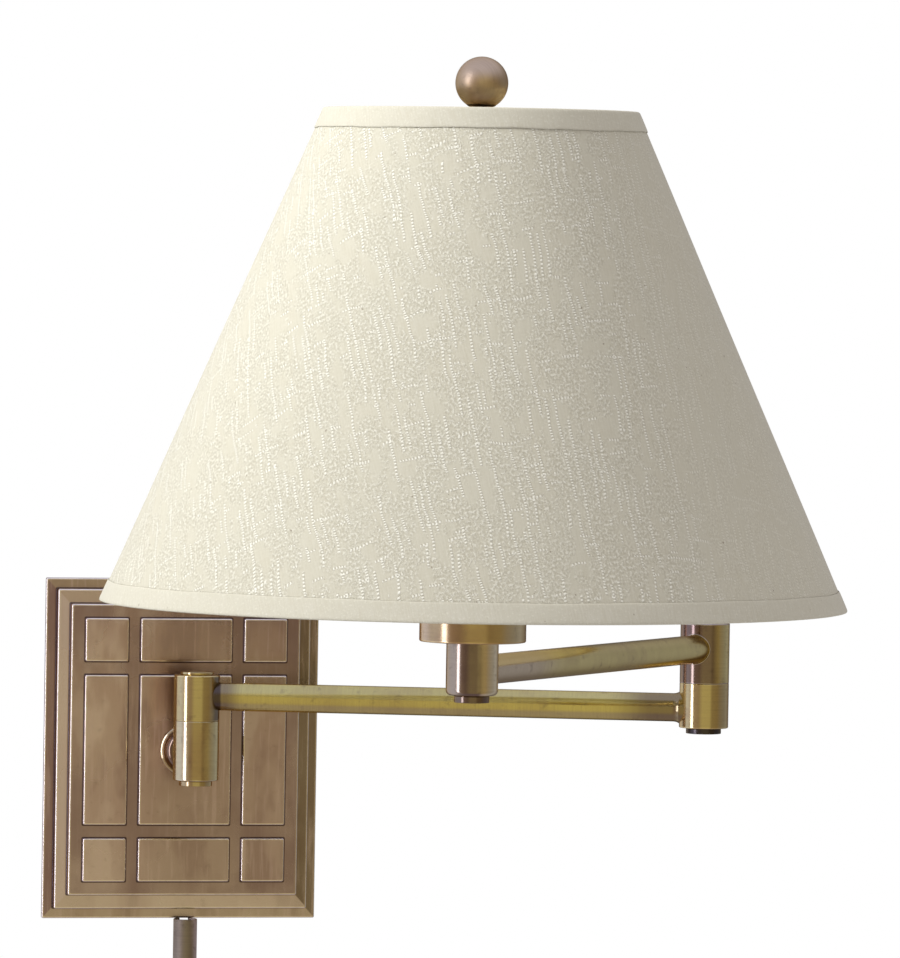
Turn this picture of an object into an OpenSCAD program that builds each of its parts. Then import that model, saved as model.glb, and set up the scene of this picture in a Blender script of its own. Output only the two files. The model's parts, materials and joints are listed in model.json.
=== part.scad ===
// Swing arm wall sconce. The back of the wall plate lies on the plane y = 0, centred on the origin;
// +X runs to the right along the wall, the lamp stands out towards -Y, and +Z is up.

/* [Wall plate] */
// Width of the outer tier of the wall plate
plate_w = 143; // [140:1:160]
// Height of the outer tier of the wall plate
plate_h = 176; // [172:1:190]
// How far each tier is set in from the one behind it, across the plate
tier_step = 6; // [5:0.5:7]
// How far the front of the wall plate stands off the wall, without the raised panels
plate_depth = 14; // [12:0.5:18]
// How far the nine raised panels stand proud
panel_rise = 2; // [1:0.25:3]

/* [Arms] */
// Distance from the wall to the axis of the wall knuckle
axis_out = 49; // [47:1:60]
// Length of each arm between its two axes
arm_len = 260; // [220:5:320]
// Outside radius of the arm tubes
tube_r = 7.2; // [6.8:0.1:7.4]
// Angle of the lower arm at rest, about +Z from +X
lower_angle = -18.2; // [-90:0.1:0]
// Angle of the upper arm at rest, from the lower arm's direction
elbow_angle = -110.5; // [-170:0.1:-20]
// Radius of the barrels of the wall knuckle
wall_barrel_r = 11.7; // [11.4:0.1:13]
// Radius of the elbow's barrels and of the lamp post
elbow_barrel_r = 12.5; // [12.2:0.1:13.5]

/* [Shade] */
// Radius of the shade at its bottom edge
shade_bottom_r = 177.8; // [150:1:180]
// Radius of the shade at its top edge
shade_top_r = 74.7; // [60:1:80]
// Height of the shade
shade_h = 235.7; // [220:0.1:240]
// Thickness of the shade's fabric and liner
shade_t = 1; // [0.8:0.1:1.4]
// Radius of the ball of the finial
finial_r = 12.6; // [10:0.1:14]

/* [Cord cover] */
// Length of the cord cover's section
cover_len = 305; // [150:5:610]
// Outside radius of the cord cover
cover_r = 6.15; // [5.8:0.05:7]
// How far the cord cover hangs to the right of the plate's centre
cover_x = 3; // [0:0.5:6]

/* [Hidden] */
$fn = 96;
eps = 0.01;

// Finishes
antique_brass = [0.58, 0.49, 0.33];
dark_brass = [0.30, 0.26, 0.20];
bright_brass = [0.78, 0.66, 0.36];
steel = [0.66, 0.67, 0.69];
zinc = [0.75, 0.75, 0.72];
phenolic = [0.16, 0.13, 0.12];
card = [0.56, 0.50, 0.42];
cord_gold = [0.62, 0.52, 0.30];
linen = [0.90, 0.88, 0.79];
linen_trim = [0.88, 0.87, 0.80];
glass = [0.95, 0.95, 0.92, 0.6];
brown_brass = [0.45, 0.33, 0.22];

// Wall plate: three tiers, then a grid of raised panels, all pressed from one sheet
sheet_t = 1.5;
rim_t = 2.5;
rim_step = 5.5;
middle_w = plate_w - 2 * rim_step;
middle_h = plate_h - 2 * rim_step;
middle_depth = 8.5;
side_step = tier_step + 0.3;
end_step = tier_step + 1.4;
face_w = middle_w - 2 * side_step;
face_h = middle_h - 2 * end_step;
border = 7.1;
grid_w = face_w - 2 * border;
grid_h = face_h - 2 * border;
small_panel = 22.4;
gap_x = 6.35;
gap_z = 6.9;
wide_panel = grid_w - 2 * (small_panel + gap_x);
tall_panel = grid_h - 2 * (small_panel + gap_z);
panel_widths = [small_panel, wide_panel, small_panel];
panel_heights = [small_panel, tall_panel, small_panel];
panel_xs = [-(wide_panel + small_panel) / 2 - gap_x, 0, (wide_panel + small_panel) / 2 + gap_x];
panel_zs = [-(tall_panel + small_panel) / 2 - gap_z, 0, (tall_panel + small_panel) / 2 + gap_z];
front = plate_depth + panel_rise;

// Stem and mounting bar behind the plate
nipple_r = 4.8;
nipple_bore = 3.5;
bar_w = 24;
bar_t = 2;
bar_crown = 30;
bar_leg = 42;
bar_end = 76;
bar_front = front - sheet_t;
slot_z = 62;
slot_w = 5;
slot_l = 12;
washer_r = 8.5;
washer_t = 1.2;
nut_t = 4;

// Rosette and neck
rosette_r = 13.2;
rosette_rim = 2.2;
rosette_shoulder = 1.6;
neck_r = 7;
neck_start = 8;

// Knuckles
barrel_bore = 8;
web_t = 3;
edge = 0.5;
split_gap = 0.1;
pivot_r = 5;
pivot_bore = 3.3;
pivot_flange_r = 7.5;
running = 0.05;
friction_r = 7.4;
friction_t = 0.7;
nut_across = 13;
cap_plug = 2;
cap_r = 8.5;

wall_low = -13;
wall_split = 17.5;
wall_high = 41;
elbow_low = 20.1;
elbow_split = 42.8;
elbow_high = 73.4;
lower_z = 30.1;
upper_z = 60.4;
post_low = 48.8;
post_high = 74.4;

// Tubes
tube_bore = tube_r - 1;
tenon_r = tube_bore - 0.05;
tenon_l = 10;
wire_hole = 4.2;
wire_r = 1.9;
lead_x = bar_w / 2 + 6;
lead_y = wire_r + 1.1;
lead_z = middle_h / 2 - sheet_t - wire_r - 0.5;
flare_r = 8.6;
flare_l = 2.2;

pivot_nut_t = 3.4;
pivot_l = 2 * web_t + 2 * split_gap + friction_t + pivot_nut_t + 0.6;
wall_collar = 8.9;
upper_collar = 1;
post_round = 2.5;

// Lamp holder, on the post's axis
cup_r = 25.5;
cup_h = 12;
cup_t = 1.2;
saddle_z = post_high + cup_t;
saddle_t = 1.6;
saddle_w = 12;
saddle_end = 2.2;
harp_foot = 21;
socket_z = saddle_z + saddle_t;
socket_r = 17;
cap_h = 20;
shell_h = 44;
shell_z = socket_z + cap_h;
shell_t = 0.6;
insulator_r = socket_r - 2 * shell_t - 0.1;
core_z = shell_z - 3;
core_h = 22;
core_r = insulator_r - shell_t - 0.2;
core_flat = 11.5;
contact_h = 1.6;
screw_r = 13.9;
screw_t = 0.4;
screw_h = 23;

// Turn switch
knob_z = shell_z + 9;
knob_out = 24;
knob_l = 13;
knob_r = 6.5;
shaft_r = 1.9;

// Bulb
bulb_z = core_z + core_h + contact_h + 1.2;
base_r = 13.1;
base_h = 24;
base_threads = 5;
thread_pitch = 3.6;
neck_bulb_r = 11.5;
bulb_r = 30;
bulb_join = 32.5;
globe_z = 76;

// Shade, harp and finial
shade_low = 91.9;
shade_high = shade_low + shade_h;
shade_slope = (shade_bottom_r - shade_top_r) / shade_h;
trim_h = 9.8;
trim_t = 0.5;
ring_wire = 1.4;
shade_inset = 1.1 * (shade_t + ring_wire) + 0.1;
ring_top_z = shade_high - trim_t - ring_wire - 0.2;
ring_low_z = shade_low + trim_t + ring_wire + 0.2;
hub_t = 2;
hub_r = 12;
spoke_r = 1.5;
hub_z = shade_high - 4.2;
stud_r = 3.1;
finial_neck_r = 5.5;
finial_z = shade_high + finial_r;

harp_r = 1.6;
ferrule_r = 2.8;
ferrule_l = 12;
pin_r = 1.5;
foot_z = socket_z + 14;
knee_z = foot_z + 6;
knee_r = 22;
knee_angle = 55;
belly_r = 48;
harp_lean = 10;
crown_r = 16;
harp_top = hub_z - 2.4;
belly_y = harp_foot + knee_r - (knee_r + belly_r) * cos(knee_angle);
belly_z = knee_z + (knee_r + belly_r) * sin(knee_angle);
run_l = (harp_top - crown_r + crown_r * sin(harp_lean) - belly_z - belly_r * sin(harp_lean)) / cos(harp_lean);
crown_y = belly_y + belly_r * cos(harp_lean) - run_l * sin(harp_lean) - crown_r * cos(harp_lean);

// Cord cover and its clips
cover_t = 0.8;
cover_slot = 5;
clip_t = 0.6;
clip_l = 12;
clip_mouth = 6;
clip_hole_r = 1.6;
clip_zs = [-plate_h / 2 - 30, -plate_h / 2 - cover_len + 30];

// Places: the wall knuckle, the lower arm, the upper arm and the post, each with its own X along the arm
module at_wall() translate([0, -axis_out, 0]) children();
module on_lower() at_wall() rotate([0, 0, lower_angle]) children();
module at_elbow() on_lower() translate([arm_len, 0, 0]) children();
module on_upper() at_elbow() rotate([0, 0, elbow_angle]) children();
module at_post() on_upper() translate([arm_len, 0, 0]) children();

// A block centred on x and z, from the wall out to a depth
module slab(w, h, from, to) translate([-w / 2, -to, -h / 2]) cube([w, to - from, h]);

// A rod along -Y, from one distance off the wall to another
module rod_out(r, from, to) translate([0, -from, 0]) rotate([90, 0, 0]) cylinder(r = r, h = to - from);

// A rod along +X
module rod_x(r, from, to) translate([from, 0, 0]) rotate([0, 90, 0]) cylinder(r = r, h = to - from);

// A cylinder about Z with a small bevel on both edges
module turned(r, low, high, bevel = edge) {
    rotate_extrude()
        polygon([[0, low], [r - bevel, low], [r, low + bevel], [r, high - bevel], [r - bevel, high], [0, high]]);
}

// A six-sided nut about Z with a round hole
module hex_nut(across, t, hole) {
    difference() {
        cylinder(r = across / sqrt(3), h = t, $fn = 6);
        translate([0, 0, -1]) cylinder(r = hole, h = t + 2);
    }
}

module ring(outer, inner, t) {
    difference() {
        cylinder(r = outer, h = t);
        translate([0, 0, -1]) cylinder(r = inner, h = t + 2);
    }
}

// Round wire through a list of points, with a ball at each bend
module wire(points) {
    for (i = [0 : len(points) - 2]) {
        run = points[i + 1] - points[i];
        translate(points[i])
            rotate([0, acos(run.z / norm(run)), atan2(run.y, run.x)])
                cylinder(r = wire_r, h = norm(run), $fn = 24);
    }
    for (i = [1 : 1 : len(points) - 2])
        translate(points[i]) sphere(r = wire_r, $fn = 24);
}

module panels(margin, from, to) {
    for (i = [0 : 2])
        for (j = [0 : 2])
            translate([panel_xs[i], 0, panel_zs[j]])
                slab(panel_widths[i] - margin, panel_heights[j] - margin, from, to);
}

module backplate() {
    color(antique_brass) difference() {
        union() {
            slab(plate_w, plate_h, 0, rim_t);
            slab(middle_w, middle_h, 0, middle_depth);
            slab(face_w, face_h, 0, plate_depth);
            panels(0, plate_depth - eps, front);
        }
        slab(middle_w - 2 * sheet_t, middle_h - 2 * sheet_t, -1, middle_depth - sheet_t);
        slab(face_w - 2 * sheet_t, face_h - 2 * sheet_t, 0, plate_depth - sheet_t);
        panels(2 * sheet_t, plate_depth - sheet_t - eps, bar_front);
        rod_out(nipple_r + 0.2, 0, front + 1);
        translate([cover_x - cover_r + 1, -4, -plate_h / 2 - 1]) cube([2 * cover_r - 2, 5, 12]);
    }
}

// The bar is bent like a hat: its feet lie on the wall and its crown backs the middle panel
module mounting_bar() {
    outline = [
        [0, bar_end], [0, bar_leg], [bar_front - bar_t, bar_crown - 1], [bar_front - bar_t, -bar_crown + 1],
        [0, -bar_leg], [0, -bar_end], [bar_t, -bar_end], [bar_t, -bar_leg - 1],
        [bar_front, -bar_crown], [bar_front, bar_crown], [bar_t, bar_leg + 1], [bar_t, bar_end]
    ];
    color(steel) difference() {
        translate([-bar_w / 2, 0, 0]) rotate([90, 0, 90]) linear_extrude(bar_w)
            polygon([for (p = outline) [-p.x, p.y]]);
        rod_out(nipple_r + 0.2, 0, front);
        for (z = [-slot_z, slot_z]) {
            for (end = [-1, 1])
                translate([0, 0, z + end * (slot_l - slot_w) / 2]) rod_out(slot_w / 2, -1, bar_t + 1);
            translate([0, 0, z]) slab(slot_w, slot_l - slot_w, -1, bar_t + 1);
        }
    }
}

module rosette() {
    dome_r = rosette_r - rosette_shoulder - neck_r;
    dome_h = neck_start - rosette_rim;
    dome = [for (a = [0 : 15 : 90]) [neck_r + dome_r * cos(a), rosette_rim + dome_h * sin(a)]];
    color(antique_brass) translate([0, -front, 0]) rotate([90, 0, 0]) rotate_extrude() polygon(concat(
        [[nipple_r + 0.1, 0], [rosette_r, 0], [rosette_r, rosette_rim - edge], [rosette_r - edge, rosette_rim]],
        dome,
        [[nipple_r + 0.1, neck_start]]
    ));
}

module stem_nipple() {
    color(zinc) difference() {
        rod_out(nipple_r, bar_front - bar_t - washer_t - nut_t - 2, axis_out - barrel_bore - 0.1);
        rod_out(nipple_bore, 0, axis_out);
    }
}

module stem_washer() {
    color(zinc) translate([0, -(bar_front - bar_t), 0]) rotate([-90, 0, 0]) ring(washer_r, nipple_r + 0.1, washer_t);
}

module stem_nut() {
    color(bright_brass) translate([0, -(bar_front - bar_t - washer_t), 0]) rotate([-90, 0, 0])
        hex_nut(nut_across, nut_t, nipple_r);
}

// Spigot along +X that carries a tube: a collar as thick as the tube, then a tenon that fits inside it
module spigot(r, collar, flare) {
    rod_x(tube_r, 0, r + collar);
    rod_x(tenon_r, 0, r + collar + tenon_l);
    if (flare) {
        rod_x(flare_r, 0, r);
        translate([r, 0, 0]) rotate([0, 90, 0]) cylinder(r1 = flare_r, r2 = tube_r, h = flare_l);
    }
}

// Barrel about Z, bored from both ends down to a web at the split, with a bore along X for the wires
module knuckle_barrel(r, low, high, web_low, web_hole, side_z, way_r, way_l) {
    difference() {
        union() {
            turned(r, low, high);
            translate([0, 0, side_z]) children();
        }
        translate([0, 0, low - 1]) cylinder(r = barrel_bore, h = web_low - low + 1);
        translate([0, 0, web_low + web_t]) cylinder(r = barrel_bore, h = high - web_low - web_t + 1);
        translate([0, 0, web_low - 1]) cylinder(r = web_hole, h = web_t + 2);
        translate([0, 0, side_z]) rod_x(way_r, 0, way_l);
    }
}

// Hollow pivot: a flange under the lower web, and a shank up through both webs for the nut
module pivot(split) {
    difference() {
        union() {
            translate([0, 0, split - web_t - 2]) cylinder(r = pivot_flange_r, h = 2);
            translate([0, 0, split - web_t - 1]) cylinder(r = pivot_r, h = pivot_l + 1);
        }
        translate([0, 0, split - web_t - 3]) cylinder(r = pivot_bore, h = pivot_l + 4);
    }
}

module friction_washer(split) {
    translate([0, 0, split + split_gap + web_t]) ring(friction_r, pivot_r + running, friction_t);
}

module pivot_nut(split) {
    translate([0, 0, split + 2 * split_gap + web_t + friction_t]) hex_nut(nut_across, pivot_nut_t, pivot_r);
}

// Cap on the end of a barrel: a bevelled disc with a plug that fits the bore; out is 1 up or -1 down
module cap(r, end, t, out) {
    translate([0, 0, end]) mirror([0, 0, out < 0 ? 1 : 0]) {
        turned(r, 0, t, 0.4);
        translate([0, 0, -cap_plug]) cylinder(r = barrel_bore, h = cap_plug + 0.5);
    }
}

// Wall end: the fixed barrel's neck screws onto the stem nipple
module wall_barrel() {
    color(antique_brass) at_wall() rotate([0, 0, 90])
        knuckle_barrel(wall_barrel_r, wall_low, wall_split, wall_split - web_t, pivot_r, 0, nipple_r, axis_out)
            rod_x(neck_r, 0, axis_out - front - neck_start);
}

module wall_barrel_cap() { color(antique_brass) at_wall() cap(cap_r, wall_low, 2.8, -1); }
module wall_pivot() { color(zinc) at_wall() pivot(wall_split); }
module wall_pivot_nut() { color(bright_brass) at_wall() pivot_nut(wall_split); }

// The cord cover is a round channel that is open along its back
module cord_cover() {
    color(antique_brass) translate([cover_x, -cover_r, -plate_h / 2 - cover_len]) difference() {
        cylinder(r = cover_r, h = cover_len);
        translate([0, 0, -1]) cylinder(r = cover_r - cover_t, h = cover_len + 2);
        translate([-cover_slot / 2, 0, -1]) cube([cover_slot, cover_r + 1, cover_len + 2]);
    }
}

// Spring clips, screwed to the wall through their backs, that the cord cover slides over
module cover_clips() {
    clip_r = cover_r - cover_t - 0.05;
    color(steel) for (z = clip_zs)
        translate([cover_x, -cover_r, z - clip_l / 2]) difference() {
            union() {
                ring(clip_r, clip_r - clip_t, clip_l);
                translate([-cover_slot / 2 + 0.2, clip_r - clip_t / 2, 0])
                    cube([cover_slot - 0.4, cover_r - clip_r + clip_t / 2, clip_l]);
            }
            translate([-clip_mouth / 2, -clip_r - 1, -1]) cube([clip_mouth, clip_r, clip_l + 2]);
            translate([0, 0, clip_l / 2]) rotate([-90, 0, 0]) cylinder(r = clip_hole_r, h = cover_r + 1);
        }
}

module lead_wall() {
    color(cord_gold) wire([
        [cover_x, -lead_y, -lead_z], [lead_x, -lead_y, -lead_z], [lead_x, -lead_y, 0], [0, -lead_y, 0],
        [0, -axis_out, 0], [0, -axis_out, wall_split]
    ]);
}

// Lower arm
module lower_wall_barrel() {
    color(antique_brass) on_lower()
        knuckle_barrel(wall_barrel_r, wall_split + split_gap, wall_high, wall_split + split_gap,
            pivot_r + running, lower_z, wire_hole, arm_len / 2)
            spigot(wall_barrel_r, wall_collar, false);
}

module lower_wall_cap() { color(antique_brass) on_lower() cap(cap_r, wall_high, 1.6, 1); }
module wall_friction_washer() { color(steel) on_lower() friction_washer(wall_split); }

module arm_tube(z, from, to) {
    color(antique_brass) translate([0, 0, z]) difference() {
        rod_x(tube_r, from, to);
        rod_x(tube_bore, from - 1, to + 1);
    }
}

module lower_tube() {
    on_lower() arm_tube(lower_z, wall_barrel_r + wall_collar, arm_len - elbow_barrel_r - flare_l);
}

module lower_elbow_barrel() {
    color(antique_brass) at_elbow() rotate([0, 0, 180])
        knuckle_barrel(elbow_barrel_r, elbow_low, elbow_split, elbow_split - web_t, pivot_r,
            lower_z, wire_hole, arm_len / 2)
            spigot(elbow_barrel_r, flare_l, true);
}

module lower_elbow_cap() { color(dark_brass) at_elbow() cap(cap_r + 0.4, elbow_low, 2.9, -1); }
module elbow_pivot() { color(zinc) at_elbow() pivot(elbow_split); }
module elbow_pivot_nut() { color(bright_brass) at_elbow() pivot_nut(elbow_split); }

module lead_lower() {
    color(cord_gold) on_lower() wire([
        [0, 0, wall_split + split_gap], [0, 0, lower_z], [arm_len, 0, lower_z], [arm_len, 0, elbow_split]
    ]);
}

// Upper arm
module upper_elbow_barrel() {
    color(antique_brass) on_upper()
        knuckle_barrel(elbow_barrel_r, elbow_split + split_gap, elbow_high, elbow_split + split_gap,
            pivot_r + running, upper_z, wire_hole, arm_len / 2)
            spigot(elbow_barrel_r, upper_collar, false);
}

module upper_elbow_cap() { color(antique_brass) on_upper() cap(cap_r, elbow_high, 1.6, 1); }
module elbow_friction_washer() { color(steel) on_upper() friction_washer(elbow_split); }

module upper_tube() {
    on_upper() arm_tube(upper_z, elbow_barrel_r + upper_collar, arm_len - elbow_barrel_r - upper_collar);
}

module post_barrel() {
    round_over = [for (a = [0 : 15 : 90])
        [elbow_barrel_r - post_round * (1 - sin(a)), post_low + post_round * (1 - cos(a))]];
    color(antique_brass) at_post() rotate([0, 0, 180]) difference() {
        union() {
            rotate_extrude() polygon(concat([[0, post_low]], round_over, [
                [elbow_barrel_r, post_high - edge], [elbow_barrel_r - edge, post_high], [0, post_high]]));
            translate([0, 0, upper_z]) spigot(elbow_barrel_r, upper_collar, false);
        }
        translate([0, 0, post_low - 1]) cylinder(r = barrel_bore, h = post_high - post_low - web_t + 1);
        cylinder(r = nipple_r, h = post_high + 1);
        translate([0, 0, upper_z]) rod_x(wire_hole, 0, arm_len / 2);
    }
}

module post_cap() { color(antique_brass) at_post() cap(cap_r, post_low, 3.4, -1); }

module socket_nipple() {
    color(zinc) at_post() translate([0, 0, post_high - web_t - nut_t - 1]) difference() {
        cylinder(r = nipple_r, h = web_t + nut_t + 1 + socket_z - post_high + 6);
        translate([0, 0, -1]) cylinder(r = nipple_bore, h = web_t + nut_t + 20);
    }
}

module nipple_nut() {
    color(bright_brass) at_post() translate([0, 0, post_high - web_t - nut_t])
        hex_nut(nut_across, nut_t, nipple_r);
}

module socket_cup() {
    color(antique_brass) at_post() translate([0, 0, post_high]) rotate_extrude() polygon([
        [nipple_r, 0], [cup_r - 0.8, 0], [cup_r, 0.8], [cup_r, cup_h - 0.4], [cup_r - 0.4, cup_h],
        [cup_r - cup_t, cup_h], [cup_r - cup_t, cup_t], [nipple_r, cup_t]
    ]);
}

// Strap on the cup's floor with a pin at each end for the harp's feet
module harp_saddle() {
    color(bright_brass) at_post() translate([0, 0, saddle_z]) {
        difference() {
            translate([-saddle_w / 2, -harp_foot - saddle_end, 0])
                cube([saddle_w, 2 * (harp_foot + saddle_end), saddle_t]);
            translate([0, 0, -1]) cylinder(r = nipple_r + 0.1, h = saddle_t + 2);
        }
        for (side = [-1, 1])
            translate([0, side * harp_foot, 0]) cylinder(r = pin_r, h = foot_z - saddle_z);
    }
}

module socket_cap() {
    color(bright_brass) at_post() translate([0, 0, socket_z]) rotate_extrude() polygon([
        [nipple_r, 0], [8, 0], [8, 3], [12, 4.5], [socket_r - 1, 8], [socket_r, 10], [socket_r, cap_h],
        [socket_r - shell_t, cap_h], [socket_r - shell_t, 10.4], [socket_r - 1.6, 8.7], [12, 5.4],
        [nipple_r, 4]
    ]);
}

// Hole along X in the side of a sleeve, for the switch's shaft
module shaft_way(r) translate([0, 0, knob_z]) rod_x(r, 0, socket_r + 5);

module sleeve(outer, t, low, high) {
    translate([0, 0, low]) ring(outer, outer - t, high - low);
}

module socket_shell() {
    color(bright_brass) at_post() difference() {
        sleeve(socket_r - shell_t - 0.05, shell_t, shell_z - 4, shell_z + shell_h);
        shaft_way(shaft_r + 0.6);
    }
}

module socket_insulator() {
    color(card) at_post() difference() {
        sleeve(insulator_r, shell_t, shell_z - 3, shell_z + shell_h);
        shaft_way(shaft_r + 0.6);
    }
}

module socket_core() {
    color(phenolic) at_post() difference() {
        translate([0, 0, core_z]) cylinder(r = core_r, h = core_h);
        for (y = [core_flat, -core_flat - core_r])
            translate([-core_r, y, core_z - 1]) cube([2 * core_r, core_r, 11]);
        translate([0, 0, core_z - 1]) cylinder(r = wire_r + 0.4, h = 6);
        shaft_way(shaft_r + running);
    }
}

module screw_shell() {
    color(zinc) at_post() sleeve(screw_r, screw_t, core_z + core_h, core_z + core_h + screw_h);
}

module centre_contact() {
    color(bright_brass) at_post() translate([0, 0, core_z + core_h]) cylinder(r = 3, h = contact_h);
}

module terminal_screws() {
    color(bright_brass) at_post() for (side = [-1, 1])
        translate([0, side * core_flat, core_z + 5]) rotate([side * -90, 0, 0]) cylinder(r = 2.6, h = 1.8);
}

module lead_upper() {
    color(cord_gold) on_upper() wire([
        [0, 0, elbow_split + split_gap], [0, 0, upper_z], [arm_len, 0, upper_z], [arm_len, 0, core_z + 4]
    ]);
}

// Harp: each side is a foot, an arc outwards, an arc back, a straight run inwards and a bend into the top
function arc_points(y, z, r, from, to, steps) =
    [for (i = [0 : steps]) let (a = from + (to - from) * i / steps) [y + r * cos(a), z + r * sin(a)]];

harp_half = concat(
    [[harp_foot, foot_z]],
    arc_points(harp_foot + knee_r, knee_z, knee_r, 180, 180 - knee_angle, 6),
    arc_points(belly_y, belly_z, belly_r, 4 - knee_angle, harp_lean, 10),
    arc_points(crown_y, harp_top - crown_r, crown_r, harp_lean, 90, 8)
);
harp_path = concat(harp_half, [for (i = [len(harp_half) - 1 : -1 : 0]) [-harp_half[i].x, harp_half[i].y]]);

// Tube swept along a path in the plane x = 0
module swept_tube(path, r, sides) {
    last = len(path) - 1;
    rings = [for (i = [0 : last])
        let (
            run = path[min(i + 1, last)] - path[max(i - 1, 0)],
            side = [run.y, -run.x] / norm(run)
        )
        for (k = [0 : sides - 1])
            let (a = 360 * k / sides)
            [r * cos(a), path[i].x + side.x * r * sin(a), path[i].y + side.y * r * sin(a)]
    ];
    ends = [[for (k = [0 : sides - 1]) k], [for (k = [sides - 1 : -1 : 0]) last * sides + k]];
    walls = [for (i = [0 : last - 1]) for (k = [0 : sides - 1])
        [i * sides + k, (i + 1) * sides + k, (i + 1) * sides + (k + 1) % sides, i * sides + (k + 1) % sides]
    ];
    polyhedron(rings, concat(ends, walls), convexity = 4);
}

module harp() { color(bright_brass) at_post() swept_tube(harp_path, harp_r, 12); }

module harp_ferrules() {
    color(bright_brass) at_post() for (side = [-1, 1])
        translate([0, side * harp_foot, foot_z - 7]) ring(ferrule_r, harp_r + running, ferrule_l);
}

module harp_stud() {
    color(bright_brass) at_post() difference() {
        union() {
            translate([0, 0, harp_top - 2.2]) cylinder(r = 5, h = hub_z - harp_top + 2.2);
            translate([0, 0, hub_z - 1]) cylinder(r = stud_r, h = finial_z - hub_z);
        }
        translate([0, 0, harp_top]) rotate([90, 0, 0]) cylinder(r = harp_r, h = 20, center = true);
    }
}

// Lamp bulb: a screw base with rounded threads, its insulated tip, and a pear-shaped envelope
module bulb_base() {
    color(zinc) at_post() translate([0, 0, bulb_z]) difference() {
        rotate_extrude() polygon(concat(
            [[0, 0], [10.5, 0]],
            [for (i = [0 : 2 * base_threads]) [base_r - (i % 2 == 0 ? 0.7 : 0), 2 + i * thread_pitch / 2]],
            [[base_r - 0.3, base_h], [0, base_h]]
        ));
        translate([0, 0, 2.2]) cylinder(r = base_r - 1.4, h = base_h);
    }
}

module bulb_contact() {
    color(phenolic) at_post() translate([0, 0, bulb_z - 1.2]) cylinder(r1 = 4, r2 = 9.5, h = 1.2);
}

function bulb_outline(inset) = concat(
    [[neck_bulb_r - inset, base_h - 3], [neck_bulb_r - inset, base_h + 4]],
    [for (t = [0.2 : 0.2 : 0.8]) [
        neck_bulb_r - inset + (bulb_r * cos(bulb_join) - neck_bulb_r) * t * t * (3 - 2 * t) * 0.97,
        base_h + 4 + (globe_z - bulb_r * sin(bulb_join) - base_h - 4) * t
    ]],
    [for (a = [-bulb_join : 8.75 : 90]) [(bulb_r - inset) * cos(a), globe_z + (bulb_r - inset) * sin(a)]]
);

module bulb_glass() {
    outer = bulb_outline(0);
    inner = bulb_outline(0.8);
    color(glass) at_post() translate([0, 0, bulb_z]) rotate_extrude()
        polygon(concat(outer, [for (i = [len(inner) - 1 : -1 : 0]) inner[i]]));
}

// Shade: the fabric is the frustum of a cone, on a wire ring at each end, with a folded tape on each edge
function shade_r(z) = shade_bottom_r - shade_slope * (z - shade_low);

module shade_band(low, high, inside, outside) {
    rotate_extrude($fn = 180) polygon([
        [shade_r(low) - inside, low], [shade_r(low) + outside, low],
        [shade_r(high) + outside, high], [shade_r(high) - inside, high]
    ]);
}

module spider() {
    start = hub_r - 1;
    spoke_z = hub_z + hub_t / 2;
    reach = shade_r(ring_top_z) - shade_inset - ring_wire - start;
    rise = ring_top_z - spoke_z;
    color(bright_brass) at_post() {
        translate([0, 0, hub_z]) ring(hub_r, stud_r + 0.1, hub_t);
        for (a = [90 : 120 : 330])
            rotate([0, 0, a - lower_angle - elbow_angle]) translate([start, 0, spoke_z])
                rotate([0, 90 - atan2(rise, reach), 0])
                    cylinder(r = spoke_r, h = norm([reach, rise]), $fn = 24);
    }
}

module wire_ring(z) {
    rotate_extrude() translate([shade_r(z) - shade_inset, z]) circle(r = ring_wire, $fn = 24);
}

module shade_top_ring() { color(bright_brass) at_post() wire_ring(ring_top_z); }
module shade_bottom_ring() { color(bright_brass) at_post() wire_ring(ring_low_z); }
module shade_fabric() { color(linen) at_post() shade_band(shade_low + trim_t, shade_high - trim_t, shade_t, 0); }

module shade_top_trim() {
    color(linen_trim) at_post() {
        shade_band(shade_high - trim_h, shade_high - trim_t, 0, trim_t);
        shade_band(shade_high - trim_t, shade_high, 2 * shade_t, trim_t);
    }
}

module shade_bottom_trim() {
    color(linen_trim) at_post() {
        shade_band(shade_low + trim_t, shade_low + trim_h, 0, trim_t);
        shade_band(shade_low, shade_low + trim_t, 2 * shade_t, trim_t);
    }
}

module finial() {
    neck_z = hub_z + hub_t;
    color(brown_brass) at_post() difference() {
        union() {
            translate([0, 0, finial_z]) sphere(r = finial_r);
            translate([0, 0, neck_z]) cylinder(r = finial_neck_r, h = finial_z - neck_z);
        }
        translate([0, 0, neck_z - 1]) cylinder(r = stud_r + running, h = finial_z - neck_z + 1);
    }
}

// Turn switch in the socket's side
module switch_shaft() {
    color(zinc) at_post() translate([0, 0, knob_z]) rod_x(shaft_r, 6, knob_out + knob_l - 3);
}

module switch_knob() {
    color(dark_brass) at_post() translate([knob_out, 0, knob_z]) rotate([0, 90, 0]) difference() {
        union() {
            turned(knob_r - 0.6, 0, knob_l);
            for (a = [0 : 30 : 330])
                rotate([0, 0, a]) translate([knob_r - 0.9, 0, 1]) cylinder(r = 0.9, h = knob_l - 2, $fn = 24);
        }
        translate([0, 0, -1]) cylinder(r = shaft_r, h = knob_l - 2);
    }
}

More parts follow.
